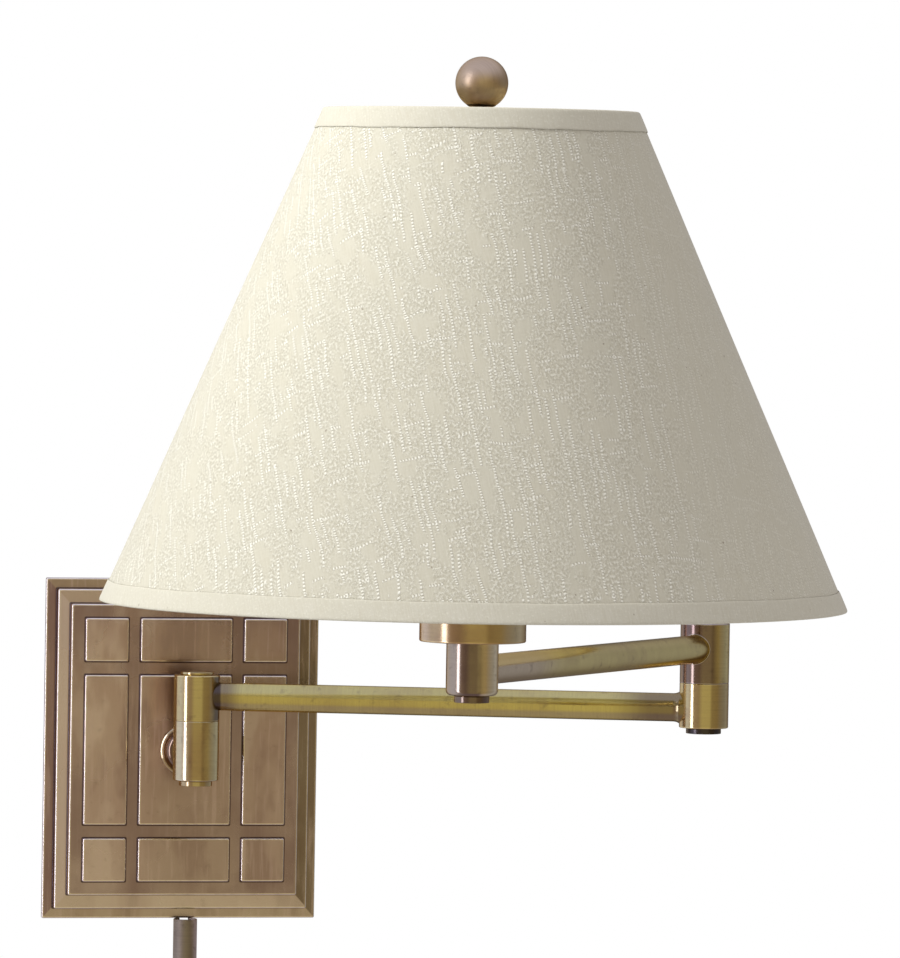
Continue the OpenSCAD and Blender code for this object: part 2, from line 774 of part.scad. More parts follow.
backplate();
mounting_bar();
rosette();
stem_nipple();
stem_washer();
stem_nut();
wall_barrel();
wall_barrel_cap();
wall_pivot();
wall_pivot_nut();
cord_cover();
cover_clips();
lead_wall();
lower_wall_barrel();
lower_wall_cap();
wall_friction_washer();
lower_tube();
lower_elbow_barrel();
lower_elbow_cap();
elbow_pivot();
elbow_pivot_nut();
lead_lower();
upper_elbow_barrel();
upper_elbow_cap();
elbow_friction_washer();
upper_tube();
post_barrel();
post_cap();
socket_nipple();
nipple_nut();
socket_cup();
harp_saddle();
socket_cap();
socket_shell();
socket_insulator();
socket_core();
screw_shell();
centre_contact();
terminal_screws();
lead_upper();
harp();
harp_ferrules();
harp_stud();
bulb_base();
bulb_contact();
bulb_glass();
spider();
shade_top_ring();
shade_bottom_ring();
shade_fabric();
shade_top_trim();
shade_bottom_trim();
finial();
switch_shaft();
switch_knob();
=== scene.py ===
"""Looks of the swing arm wall sconce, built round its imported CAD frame.

Lengths are in millimetres until a mesh is made. The frame's origin is the centre of the wall plate on
the wall, +X runs to the right along the wall, +Z is up, and the lamp stands out towards -Y.
"""

import json
import math

import bmesh
import bpy
import numpy as np
from mathutils import Matrix, Vector


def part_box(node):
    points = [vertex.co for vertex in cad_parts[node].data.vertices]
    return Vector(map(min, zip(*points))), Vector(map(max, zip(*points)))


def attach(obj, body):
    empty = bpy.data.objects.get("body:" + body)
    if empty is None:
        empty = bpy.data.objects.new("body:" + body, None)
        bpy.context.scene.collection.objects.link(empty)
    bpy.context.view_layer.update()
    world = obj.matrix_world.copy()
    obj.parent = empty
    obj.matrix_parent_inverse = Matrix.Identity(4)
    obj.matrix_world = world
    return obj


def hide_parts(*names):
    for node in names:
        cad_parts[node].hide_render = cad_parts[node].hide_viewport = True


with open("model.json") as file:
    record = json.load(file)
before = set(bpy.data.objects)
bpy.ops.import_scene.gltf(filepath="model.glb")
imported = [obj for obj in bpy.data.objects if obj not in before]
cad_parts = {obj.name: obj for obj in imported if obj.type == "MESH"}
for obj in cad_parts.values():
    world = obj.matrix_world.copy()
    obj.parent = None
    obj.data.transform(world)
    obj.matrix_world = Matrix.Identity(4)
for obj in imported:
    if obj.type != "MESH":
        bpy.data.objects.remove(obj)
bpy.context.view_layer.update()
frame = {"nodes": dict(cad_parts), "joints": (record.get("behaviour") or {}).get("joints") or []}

MM = 0.001
TURN = 2 * math.pi

# ---- sizes, in mm
JOINT = {j["name"]: j for j in frame["joints"]}
WALL_AXIS = Vector(JOINT["wall_swing"]["pos_m"]) / MM
ELBOW_AXIS = Vector(JOINT["elbow_swing"]["pos_m"]) / MM
UPPER_DIR = Vector(JOINT["switch_turn"]["axis"])
AXIS_OUT = -WALL_AXIS.y
LOWER_ANGLE = math.atan2(ELBOW_AXIS.y - WALL_AXIS.y, ELBOW_AXIS.x - WALL_AXIS.x)
UPPER_ANGLE = math.atan2(UPPER_DIR.y, UPPER_DIR.x)
ARM = (ELBOW_AXIS.xy - WALL_AXIS.xy).length


def node_box(name):
    low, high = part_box(name)
    return Vector(low) / MM, Vector(high) / MM


def move(x, y, z):
    return Matrix.Translation((x, y, z))


def at_wall(angle=0.0):
    return move(0, -AXIS_OUT, 0) @ Matrix.Rotation(angle, 4, "Z")


ON_LOWER = at_wall(LOWER_ANGLE)
ON_UPPER = ON_LOWER @ move(ARM, 0, 0) @ Matrix.Rotation(UPPER_ANGLE - LOWER_ANGLE, 4, "Z")
AT_ELBOW = Matrix.Translation(ON_UPPER.translation)
AT_POST = ON_UPPER @ move(ARM, 0, 0)
ALONG_X = Matrix.Rotation(math.pi / 2, 4, "Y")
OUT = Matrix.Rotation(math.pi / 2, 4, "X")

PLATE_LOW, PLATE_HIGH = node_box("backplate")
PLATE_W = PLATE_HIGH.x - PLATE_LOW.x
PLATE_H = PLATE_HIGH.z - PLATE_LOW.z
FRONT = -PLATE_LOW.y
SHEET = 1.5
TIERS = [(0, 0, 2.5), (5.5, 5.5, 8.5), (11.8, 12.9, 14)]
BORDER = 7.1
SMALL_PANEL = 22.4
GAP = (6.35, 6.9)

TUBE_R = 7.2
WALL_R, ELBOW_R = 11.7, 12.5
CAP_R = 8.5
WALL_Z = (-13, 17.5, 17.6, 41)
ELBOW_Z = (20.1, 42.8, 42.9, 73.4)
LOWER_Z, UPPER_Z = 30.1, 60.4
POST_LOW, POST_HIGH = 48.8, 74.4
CUP_R, CUP_H = 25.5, 12
FLARE_R, FLARE_L = 8.2, 1.9
WALL_COLLAR = 8.9
NECK_R = 7.0
ROSETTE_R = 13.2
PANEL_CROWN, CROWN_INSET = 0.12, 4

SADDLE_Z = POST_HIGH + 1.2
SOCKET_Z = SADDLE_Z + 1.6
SOCKET_R = 17
SHELL_Z = SOCKET_Z + 20
KNOB_Z = SHELL_Z + 9
BULB_Z = SHELL_Z - 3 + 22 + 1.6 + 1.2

SHADE_LOW = node_box("shade_bottom_trim")[0].z
SHADE_HIGH = node_box("shade_top_trim")[1].z
SHADE_BOTTOM_R, SHADE_TOP_R = 177.8, 74.7
SHADE_SLOPE = (SHADE_BOTTOM_R - SHADE_TOP_R) / (SHADE_HIGH - SHADE_LOW)
SHADE_T = 1.0
TRIM_H, TRIM_T = 9.8, 0.5
HUB_Z = SHADE_HIGH - 4.2
HUB_R, HUB_BORE = 12, 3.2
FINIAL_R = 12.6
RING_WIRE, HARP_WIRE, SPIDER_WIRE = 1.4, 1.6, 1.5
LAP = 7
SCREW_R, THREAD_DEPTH, THREAD_PITCH = 12.75, 0.4, 3.6
GLOBE_R, GLOBE_Z, GLOBE_FROM = 30, 76, 32
KNOB_FLUTES, FLUTE_DEPTH = 18, 0.28

COVER_R, COVER_T, COVER_SLOT = 6.15, 0.8, 5
COVER_LOW, COVER_HIGH = node_box("cord_cover")


def shade_r(z):
    return SHADE_BOTTOM_R - SHADE_SLOPE * (z - SHADE_LOW)


# ---- camera, floor and light
YAW, PITCH, ROLL = math.radians(11.556), math.radians(1.864), math.radians(0.943)
LENS = 281.96
LIT_POINT = Vector((0.10, -0.22, 0.12))
camera = bpy.data.objects.new("camera", bpy.data.cameras.new("camera"))
bpy.context.collection.objects.link(camera)
camera.matrix_world = (
    move(-0.6424, -3.8277, 0.2679)
    @ Matrix.Rotation(-YAW, 4, "Z")
    @ Matrix.Rotation(math.pi / 2 - PITCH, 4, "X")
    @ Matrix.Rotation(ROLL, 4, "Z")
)
camera.data.lens = LENS
camera.data.sensor_width = 36
camera.data.clip_end = 50
bpy.context.scene.camera = camera
bpy.context.scene.view_settings.view_transform = "Standard"


class Tree:
    """A node tree being built: node() adds a node, and a value given to it is a socket to link or a constant."""

    def __init__(self, owner):
        owner.use_nodes = True
        self.tree = owner.node_tree
        self.tree.nodes.clear()

    def node(self, kind, inputs=None, **props):
        made = self.tree.nodes.new(kind)
        for key, value in props.items():
            setattr(made, key, value)
        for key, value in (inputs or {}).items():
            self.put(made.inputs[key], value)
        return made

    def put(self, socket, value):
        if isinstance(value, bpy.types.NodeSocket):
            self.tree.links.new(value, socket)
        else:
            socket.default_value = value

    def math(self, op, a, b=0.0):
        return self.node("ShaderNodeMath", {0: a, 1: b}, operation=op).outputs[0]

    def times(self, a, b):
        return self.math("MULTIPLY", a, b)

    def plus(self, a, b):
        return self.math("ADD", a, b)

    def minus(self, a, b):
        return self.math("SUBTRACT", a, b)

    def ramp(self, value, low, high, to_low=0.0, to_high=1.0):
        made = self.node("ShaderNodeMapRange", {"Value": value, "From Min": low, "From Max": high,
                         "To Min": to_low, "To Max": to_high}, interpolation_type="SMOOTHSTEP")
        return made.outputs["Result"]

    def mix(self, factor, a, b):
        made = self.node("ShaderNodeMix", data_type="RGBA")
        for socket, value in ((made.inputs[0], factor), (made.inputs[6], a), (made.inputs[7], b)):
            self.put(socket, (*value, 1) if isinstance(value, tuple) and len(value) == 3 else value)
        return made.outputs[2]

    def noise(self, vector, scale, detail=3.0, roughness=0.5, stretch=None):
        if stretch:
            vector = self.node("ShaderNodeMapping", {"Vector": vector, "Scale": stretch}).outputs[0]
        return self.node("ShaderNodeTexNoise", {"Vector": vector, "Scale": scale, "Detail": detail,
                         "Roughness": roughness}).outputs["Fac"]

    def attribute(self, name, output):
        return self.node("ShaderNodeAttribute", attribute_name=name).outputs[output]

    def bump(self, height, distance, strength=1.0):
        return self.node("ShaderNodeBump", {"Height": height, "Distance": distance,
                         "Strength": strength}).outputs[0]

    def surface(self, constants, linked):
        made = self.node("ShaderNodeBsdfPrincipled")
        for key, value in {**constants, **linked}.items():
            self.put(made.inputs[key], value)
        out = self.node("ShaderNodeOutputMaterial")
        self.tree.links.new(made.outputs[0], out.inputs[0])


def sky():
    """A soft studio: even fill for cloth, bands of cool and warm for metal, and white where the camera looks."""
    world = bpy.data.worlds.new("studio")
    bpy.context.scene.world = world
    t = Tree(world)
    way = t.node("ShaderNodeTexCoord").outputs["Generated"]
    turned = t.node("ShaderNodeVectorRotate", {"Vector": way, "Angle": math.pi / 2 + YAW},
                    rotation_type="Z_AXIS").outputs[0]
    round_it = t.node("ShaderNodeTexGradient", {"Vector": turned}, gradient_type="RADIAL").outputs["Fac"]
    stops = t.node("ShaderNodeValToRGB", {"Fac": round_it})
    colours = [
        (-180, (0.14, 0.14, 0.18)), (-158, (0.18, 0.18, 0.26)), (-146, (0.84, 0.90, 1.35)),
        (-84, (0.86, 0.92, 1.40)), (-52, (0.50, 0.40, 0.40)), (-26, (0.43, 0.35, 0.32)),
        (-9, (0.64, 0.58, 0.40)), (26, (0.62, 0.56, 0.38)), (36, (0.38, 0.31, 0.21)),
        (64, (0.33, 0.26, 0.18)), (78, (0.31, 0.27, 0.28)), (108, (0.32, 0.32, 0.42)),
        (126, (0.40, 0.42, 0.62)), (150, (0.22, 0.22, 0.32)), (180, (0.14, 0.14, 0.18)),
    ]
    ramp = stops.color_ramp
    while len(ramp.elements) < len(colours):
        ramp.elements.new(0.5)
    for element, (angle, colour) in zip(ramp.elements, colours):
        element.position = angle / 360 + 0.5
        element.color = (*colour, 1)
    height = t.node("ShaderNodeSeparateXYZ", {0: way}).outputs["Z"]
    up = t.mix(t.ramp(height, 0.2, 0.75), stops.outputs["Color"], (0.64, 0.68, 1.10))
    low = t.mix(t.ramp(height, -0.95, -0.62, 1.0, 0.0), up, (0.42, 0.37, 0.50))
    fill = t.mix(t.ramp(height, -0.7, 0.7), (0.28, 0.27, 0.275), (0.62, 0.60, 0.635))
    path = t.node("ShaderNodeLightPath").outputs
    seen = t.mix(path["Is Glossy Ray"], fill, low)
    colour = t.mix(path["Is Camera Ray"], seen, (1.0, 1.0, 1.0))
    back = t.node("ShaderNodeBackground", {"Color": colour})
    out = t.node("ShaderNodeOutputWorld")
    t.tree.links.new(back.outputs[0], out.inputs[0])


def softbox(name, bearing, lift, distance, wide, tall, radiance, colour):
    """A rectangular light aimed at the lamp; its bearing is measured to the right of the camera's side."""
    light = bpy.data.lights.new(name, "AREA")
    light.shape = "RECTANGLE"
    light.size, light.size_y = wide, tall
    light.energy = radiance * math.pi * wide * tall
    light.color = colour
    made = bpy.data.objects.new(name, light)
    bpy.context.collection.objects.link(made)
    angle = math.radians(bearing) - math.pi / 2 - YAW
    place = LIT_POINT + distance * Vector((math.cos(angle), math.sin(angle), lift))
    made.location = place
    made.rotation_euler = (LIT_POINT - place).to_track_quat("-Z", "Y").to_euler()
    return made


sky()
softbox("key", -63, 1.02, 0.86, 0.48, 1.1, 7.7, (0.975, 1.0, 1.05)).visible_glossy = False
softbox("strip", -61, 0.08, 2.2, 0.42, 2.6, 5.0, (0.93, 1.0, 1.55)).visible_diffuse = False

# ---- meshes


def rounded(corners, steps=4):
    """A profile through corners (across, along, radius), with an arc at each: (across, along, on an edge)."""
    out = []
    for i, (x, y, r) in enumerate(corners):
        if r <= 0 or i in (0, len(corners) - 1):
            out.append((x, y, 0.0))
            continue
        p = Vector((x, y))
        a = (Vector(corners[i - 1][:2]) - p).normalized()
        b = (Vector(corners[i + 1][:2]) - p).normalized()
        half = a.angle(b) / 2
        centre = p + (a + b).normalized() * r / math.sin(half)
        start, end = p + a * r / math.tan(half) - centre, p + b * r / math.tan(half) - centre
        sweep = start.angle_signed(end)
        for k in range(steps + 1):
            q = centre + start @ Matrix.Rotation(sweep * k / steps, 2)
            out.append((q.x, q.y, 1.0))
    full = []
    for (x, y, worn), (x2, y2, worn2) in zip(out, out[1:]):
        full.append((x, y, worn))
        length = math.hypot(x2 - x, y2 - y)
        if length > 1.2:
            for share, near in ((0.3 / length, worn), (1 - 0.3 / length, worn2)):
                if near:
                    full.append((x + (x2 - x) * share, y + (y2 - y) * share, 0.0))
    return full + out[-1:]


def band(low, high, turn=0):
    """Faces that join two rings of equal count, the second one entered at its corner number turn."""
    count = len(low)
    return [[low[k], low[(k + 1) % count], high[(k + 1 + turn) % count], high[(k + turn) % count]]
            for k in range(count)]


class Shape:
    """Vertices in mm in a part's own frame, its faces, and how much each vertex lies on a worn edge."""

    def __init__(self):
        self.points, self.faces, self.wear, self.own = [], [], [], []

    def add(self, points, faces, place=None, wear=None):
        base = len(self.points)
        place = place or Matrix.Identity(4)
        self.points += [place @ Vector(p) for p in points]
        self.own += [Vector(p) for p in points]
        self.wear += list(wear or [0.0] * len(points))
        self.faces += [[base + i for i in f] for f in faces]
        return self

    def lathe(self, profile, place=None, sides=96, closed=False, rib=None):
        """Turns a profile (radius, height, wear) about Z. rib(angle, radius, height) moves the radius."""
        points, wear, rings = [], [], []
        for r, z, w in profile:
            if r < 1e-6:
                rings.append([len(points)])
                points.append((0, 0, z))
                wear.append(w)
                continue
            rings.append(list(range(len(points), len(points) + sides)))
            for k in range(sides):
                a = TURN * k / sides
                q = r + (rib(a, r, z) if rib else 0)
                points.append((q * math.cos(a), q * math.sin(a), z))
                wear.append(w)
        pairs = list(zip(rings, rings[1:] + rings[:1] if closed else rings[1:]))
        faces = []
        for low, high in pairs:
            for k in range(sides):
                n = (k + 1) % sides
                quad = [low[k % len(low)], low[n % len(low)], high[n % len(high)], high[k % len(high)]]
                quad = list(dict.fromkeys(quad))
                if len(quad) > 2:
                    faces.append(quad)
        return self.add(points, faces, place, wear)

    def sweep(self, path, radius, place=None, sides=16, closed=False, wear=0.0):
        """Carries a circle along a path of points, with a rounded end where the path is open."""
        path = [Vector(p) for p in path]
        count = len(path)
        side = None
        rings, points = [], []
        for i in range(count):
            before = path[(i - 1) % count] if closed or i else path[i]
            after = path[(i + 1) % count] if closed or i < count - 1 else path[i]
            run = (after - before).normalized()
            if side is None:
                side = run.orthogonal().normalized()
            side = (side - run * side.dot(run)).normalized()
            other = run.cross(side)
            rings.append(list(range(len(points), len(points) + sides)))
            for k in range(sides):
                a = TURN * k / sides
                points.append(path[i] + (side * math.cos(a) + other * math.sin(a)) * radius)
        faces = [face for low, high in zip(rings, rings[1:]) for face in band(low, high)]
        if closed:
            low, high = rings[-1], rings[0]
            faces += band(low, high, min(range(sides), key=lambda s: (points[low[0]] - points[high[s]]).length))
        else:
            faces += [rings[0][::-1], rings[-1]]
        return self.add(points, faces, place, [wear] * len(points))


def build(name, shape, body, material, nodes, flat_normals=True):
    """Makes a shape a piece that rides on a CAD body and stands for some of its nodes."""
    mesh = bpy.data.meshes.new(name)
    mesh.from_pydata([tuple(p * MM) for p in shape.points], [], shape.faces)
    work = bmesh.new()
    work.from_mesh(mesh)
    bmesh.ops.recalc_face_normals(work, faces=work.faces)
    work.to_mesh(mesh)
    work.free()
    own = mesh.attributes.new("own", "FLOAT_VECTOR", "POINT")
    own.data.foreach_set("vector", np.array([p * MM for p in shape.own], np.float32).ravel())
    wear = mesh.attributes.new("wear", "FLOAT", "POINT")
    wear.data.foreach_set("value", np.array(shape.wear, np.float32))
    mesh.polygons.foreach_set("use_smooth", [True] * len(mesh.polygons))
    made = bpy.data.objects.new(name, mesh)
    bpy.context.collection.objects.link(made)
    if flat_normals:
        made.modifiers.new("even", "WEIGHTED_NORMAL").keep_sharp = True
    for m in material if isinstance(material, (list, tuple)) else [material]:
        mesh.materials.append(m)
    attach(made, body)
    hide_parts(*nodes)
    return made


def turned(name, profile, place, material, node, body="upper_arm", slot="antique_brass", flat_normals=True, **lathe):
    """A piece that is one profile turned about its own Z axis."""
    return build(name, Shape().lathe(profile, place, **lathe), body, material, [node], flat_normals)


def barrel(low, high, r, bottom=0.6, top=0.6):
    return rounded([(0, low, 0), (r, low, bottom), (r, high, top), (0, high, 0)])


def saddle(barrel_r, tube_r, grow, height, t):
    """A point where a tube along X meets a barrel about Z."""
    y = tube_r * math.cos(t)
    return Vector((math.sqrt(max((barrel_r + grow) ** 2 - y * y, 0)), y, height + tube_r * math.sin(t)))


# ---- materials


METAL = {"Metallic": 1.0, "IOR": 1.5, "Specular Tint": (0.95, 0.80, 0.56, 1.0)}


def brass(name, light, brown, dark, rough, blotch=(0.42, 0.64), own=True, lines=True, bright=None, sides=()):
    """Lacquered antique brass: blotches of brown patina, fine mottling, turning lines and rubbed edges that carry
    painted highlight.

    sides are (direction in the part's own frame, from, to, colour): painted reflection, highlight and shade on that
    side.
    """
    made = bpy.data.materials.new(name)
    t = Tree(made)
    at = t.attribute("own", "Vector") if own else t.node("ShaderNodeTexCoord").outputs["Object"]
    broad = t.noise(at, 34, 4, 0.55)
    fine = t.noise(at, 210, 4, 0.6)
    turning = t.noise(at, 1.0, 2, 0.5, (60, 60, 2400) if lines else (1500, 60, 60))
    colour = t.mix(t.ramp(broad, *blotch), light, brown)
    # Painted light: each side entry paints the side of the part that faces its direction in another tone.
    for way, start, end, painted_tone in sides:
        facing = t.node("ShaderNodeVectorMath", {0: at, 1: way}, operation="DOT_PRODUCT").outputs["Value"]
        facing = t.plus(facing, t.times(t.minus(broad, 0.5), 0.006))
        low, high, at_low, at_high = (start, end, 0.0, 1.0) if start < end else (end, start, 1.0, 0.0)
        colour = t.mix(t.ramp(facing, low * MM, high * MM, at_low, at_high), colour, painted_tone)
    colour = t.mix(t.ramp(fine, 0.56, 0.74, 0.0, 0.36), colour, dark)
    colour = t.mix(t.ramp(turning, 0.35, 0.7, 0.0, 0.12), colour, dark)
    if own:
        # Edges rubbed bright, which also serves as painted highlight along them.
        rubbed_and_highlit = t.times(t.attribute("wear", "Fac"), t.ramp(fine, 0.3, 0.6, 0.5, 0.9))
        colour = t.mix(rubbed_and_highlit, colour, bright or tuple(min(1.0, c * 1.35) for c in light))
    gloss = t.plus(t.ramp(broad, 0.3, 0.7, rough[0], rough[1]), t.ramp(turning, 0.3, 0.7, 0.0, 0.03))
    height = t.plus(t.times(turning, 0.35), t.times(fine, 0.3))
    t.surface(METAL, {"Base Color": colour, "Roughness": gloss, "Normal": t.bump(height, 0.00003, 0.35)})
    return made


def plate_brass():
    """The pressed plate: brown patina, dark in the channels, edges rubbed bright with painted highlight, and painted
    reflection and shade across it; depths are in metres.
    """
    made = bpy.data.materials.new("plate_brass")
    t = Tree(made)
    at = t.attribute("own", "Vector")
    broad = t.noise(at, 16, 4, 0.5)
    cloud = t.noise(at, 7, 2, 0.5)
    wash = t.noise(at, 1.0, 3, 0.5, (46, 30, 20))
    fine = t.noise(at, 260, 4, 0.6)
    grain = t.noise(at, 1.0, 3, 0.6, (900, 60, 60))
    parts = t.node("ShaderNodeSeparateXYZ", {0: at}).outputs
    depth, half_w, half_h = parts["Y"], (PLATE_W / 2 - TIERS[2][0]) * MM, (PLATE_H / 2 - TIERS[2][1]) * MM
    # Painted reflection: lighter towards the bottom of the plate, darker towards the top.
    rise = t.plus(parts["Z"], t.times(t.minus(cloud, 0.5), 0.12))
    colour = t.mix(t.ramp(rise, -0.085, 0.085), (0.57, 0.445, 0.38), (0.465, 0.325, 0.26))
    colour = t.mix(t.ramp(broad, 0.42, 0.66, 0.0, 0.6), colour, (0.47, 0.325, 0.275))
    colour = t.mix(t.ramp(wash, 0.51, 0.63, 0.0, 0.5), colour, (0.69, 0.56, 0.485))
    colour = t.mix(t.ramp(wash, 0.36, 0.48, 0.6, 0.0), colour, (0.31, 0.20, 0.175))
    on_tier = t.ramp(depth, -0.0132, -0.0128)
    on_rim = t.ramp(depth, -0.006, -0.004)
    on_face = t.minus(1.0, on_tier)
    # Painted shade: the front face is painted darker from its middle towards its right.
    middle = t.times(t.ramp(parts["X"], -0.04, 0.0, 0.0, 0.5), t.ramp(parts["X"], 0.015, 0.05, 1.0, 0.5))
    colour = t.mix(t.times(middle, on_face), colour, (0.33, 0.235, 0.18))
    colour = t.mix(t.ramp(fine, 0.58, 0.76, 0.0, 0.25), colour, (0.22, 0.15, 0.115))
    # Painted reflection and shade on the outer tiers: right-hand ones dark, left-hand ones pale pink with a dark
    # outer rim, top and bottom ones lighter.
    over_x = t.math("DIVIDE", t.minus(t.math("ABSOLUTE", parts["X"]), half_w), TIERS[2][0] * MM)
    over_z = t.math("DIVIDE", t.minus(t.math("ABSOLUTE", parts["Z"]), half_h), TIERS[2][1] * MM)
    mitre = t.times(t.ramp(t.minus(over_x, over_z), -0.04, 0.04), on_tier)
    right = t.times(t.math("GREATER_THAN", parts["X"], 0.0), mitre)
    left = t.times(t.math("LESS_THAN", parts["X"], 0.0), mitre)
    flat = t.minus(on_tier, mitre)
    colour = t.mix(t.times(right, 0.8), colour, (0.17, 0.125, 0.07))
    colour = t.mix(t.times(left, 0.8), colour, t.mix(on_rim, (0.69, 0.57, 0.53), (0.275, 0.175, 0.165)))
    colour = t.mix(t.times(flat, 0.4), colour, t.mix(on_rim, (0.70, 0.60, 0.49), (0.42, 0.345, 0.22)))
    streak = t.noise(at, 1.0, 3, 0.6, (420, 60, 26))
    colour = t.mix(t.ramp(streak, 0.5, 0.7, 0.0, 0.35), colour, (0.64, 0.49, 0.45))
    channel = t.times(t.ramp(depth, -0.0147, -0.0141), t.ramp(depth, -0.0136, -0.0139))
    colour = t.mix(t.times(channel, t.ramp(broad, 0.35, 0.6, 0.25, 0.65)), colour, (0.235, 0.155, 0.14))
    # Near black along the foot of each step, where the edge mark is below 0.
    wear = t.attribute("wear", "Fac")
    colour = t.mix(t.ramp(wear, -0.9, -0.1, 0.85, 0.0), colour, (0.06, 0.04, 0.035))
    # Edges rubbed bright, which also serves as painted highlight along them.
    rubbed_and_highlit = t.times(t.math("MAXIMUM", wear, 0.0), t.ramp(fine, 0.3, 0.6, 0.75, 1.0))
    colour = t.mix(rubbed_and_highlit, colour, (0.98, 0.87, 0.62))
    gloss = t.minus(t.ramp(broad, 0.3, 0.7, 0.24, 0.31), t.times(rubbed_and_highlit, 0.08))
    height = t.plus(t.times(grain, 0.25), t.times(fine, 0.4))
    t.surface(METAL, {"Base Color": colour, "Roughness": gloss, "Normal": t.bump(height, 0.00004, 0.3)})
    return made


def plain(name, one, two, scale, rough, metallic=0.0, depth=0.00002, own=False, **constants):
    """A plain material with mottled colour, uneven gloss and a faint texture."""
    made = bpy.data.materials.new(name)
    t = Tree(made)
    at = t.attribute("own", "Vector") if own else t.node("ShaderNodeTexCoord").outputs["Object"]
    broad = t.noise(at, scale, 4, 0.55)
    fine = t.noise(at, scale * 9, 3, 0.6)
    colour = t.mix(t.ramp(broad, 0.35, 0.65), one, two)
    gloss = t.ramp(fine, 0.3, 0.7, rough[0], rough[1])
    sockets = {k.replace("_", " "): v for k, v in constants.items()}
    t.surface({"Metallic": metallic, **sockets},
              {"Base Color": colour, "Roughness": gloss, "Normal": t.bump(fine, depth, 0.4)})
    return made


def slub(t, across, along, pitch, width, level, reach, stitch):
    """Thick yarns: here and there one yarn shows for a while as a row of raised dots, each with its shadow."""
    lane = t.math("DIVIDE", across, pitch)
    column = t.math("FLOOR", lane)
    chance = t.node("ShaderNodeTexWhiteNoise", {"W": column}, noise_dimensions="1D").outputs["Value"]
    middle = t.plus(t.times(chance, 0.5), 0.25)
    off = t.times(t.minus(t.math("FRACT", lane), middle), pitch / width)
    spot = t.node("ShaderNodeCombineXYZ", {0: t.times(column, 7.31),
                  1: t.times(along, reach)})
    shown = t.ramp(t.noise(spot.outputs[0], 1.0, 2, 0.5), level, level + 0.02)
    turn = t.plus(t.times(along, TURN / stitch), t.times(column, 2.1))
    beat = t.ramp(t.math("SINE", turn), -0.35, 0.25)
    late = t.ramp(t.math("SINE", t.minus(turn, 1.9)), 0.0, 0.6)
    ridge = t.ramp(t.math("ABSOLUTE", off), 0.36, 0.56, 1.0, 0.0)
    flank = t.ramp(t.math("ABSOLUTE", t.minus(off, 0.25)), 0.3, 0.6, 1.0, 0.0)
    return (t.times(t.times(ridge, shown), beat),
            t.times(t.times(flank, shown), late))


def linen(name, trim=False):
    """Undyed linen laid flat on a cone: slubs both ways, drifts of small pimples and a few dark flecks."""
    made = bpy.data.materials.new(name)
    t = Tree(made)
    at = t.node("ShaderNodeUVMap", uv_map="weave").outputs[0]
    wander = t.noise(at, 30, 3, 0.5)
    parts = t.node("ShaderNodeSeparateXYZ", {0: at})
    u = t.plus(parts.outputs["X"], t.times(wander, 0.007))
    v = t.plus(parts.outputs["Y"], t.times(wander, 0.012))
    thread_u = t.noise(at, 1.0, 2, 0.6, (1250, 90, 1))
    thread_v = t.noise(at, 1.0, 2, 0.6, (110, 1100, 1))
    cloud = t.noise(at, 1.0, 3, 0.55, (60, 18, 1))
    grain = t.noise(at, 1.0, 2, 0.6, (900, 760, 1))
    patch = t.noise(at, 1.0, 3, 0.6, (95, 45, 1))
    if trim:
        light, deep = (0.70, 0.666, 0.53), (0.655, 0.617, 0.475)
        raised = t.times(t.ramp(grain, 0.55, 0.7), 0.25)
        sunk = t.times(t.ramp(grain, 0.30, 0.42, 1.0, 0.0), 0.15)
        height = t.plus(t.times(grain, 0.3), t.times(thread_u, 0.3))
    else:
        light, deep = (0.70, 0.664, 0.52), (0.65, 0.612, 0.465)
        tall, beside = slub(t, u, v, 0.0039, 0.0012, 0.515, 34, 0.00148)
        wide, above = slub(t, v, u, 0.0052, 0.0012, 0.575, 85, 0.00148)
        # Painted light: the dots, pimples and their painted shadows fade towards one side of the cloth, where the
        # light no longer rakes across them.
        quiet = t.ramp(u, 0.0, 0.05, 1.0, 0.4)
        drift = t.times(t.ramp(patch, 0.40, 0.52, 0.08, 1.0), quiet)
        pimples = t.times(t.ramp(grain, 0.54, 0.585), drift)
        pits = t.times(t.ramp(grain, 0.415, 0.455, 1.0, 0.0), drift)
        dots = t.times(t.math("MAXIMUM", tall, wide), quiet)
        raised = t.math("MAXIMUM", dots, t.times(pimples, 0.52))
        shade = t.times(t.math("MAXIMUM", beside, above), quiet)
        sunk = t.math("MAXIMUM", t.times(shade, 0.85), t.times(pits, 0.6))
        height = t.plus(raised, t.times(thread_u, 0.3))
        height = t.minus(height, t.times(sunk, 0.35))
    threads = t.plus(t.times(thread_u, 0.7), t.times(thread_v, 0.3))
    colour = t.mix(t.ramp(threads, 0.36, 0.62), deep, light)
    colour = t.mix(t.ramp(cloud, 0.35, 0.65, 0.0, 0.45), colour, (0.675, 0.645, 0.505))
    # Painted shadow and highlight: sunk places (flanks beside the dots, pits, dark specks) are painted darker, and
    # raised ones lighter.
    colour = t.mix(t.times(sunk, 0.6), colour, (0.44, 0.40, 0.29))
    colour = t.mix(raised, colour, (1.0, 0.975, 0.82))
    fleck = t.noise(at, 1.0, 1, 0.4, (420, 330, 1))
    colour = t.mix(t.ramp(fleck, 0.77, 0.82, 0.0, 0.75), colour, (0.30, 0.24, 0.16))
    t.surface({"Sheen Weight": 0.08, "Sheen Roughness": 0.4, "Specular IOR Level": 0.12, "Roughness": 0.94},
              {"Base Color": colour, "Normal": t.bump(height, 0.00028, 0.8)})
    return made


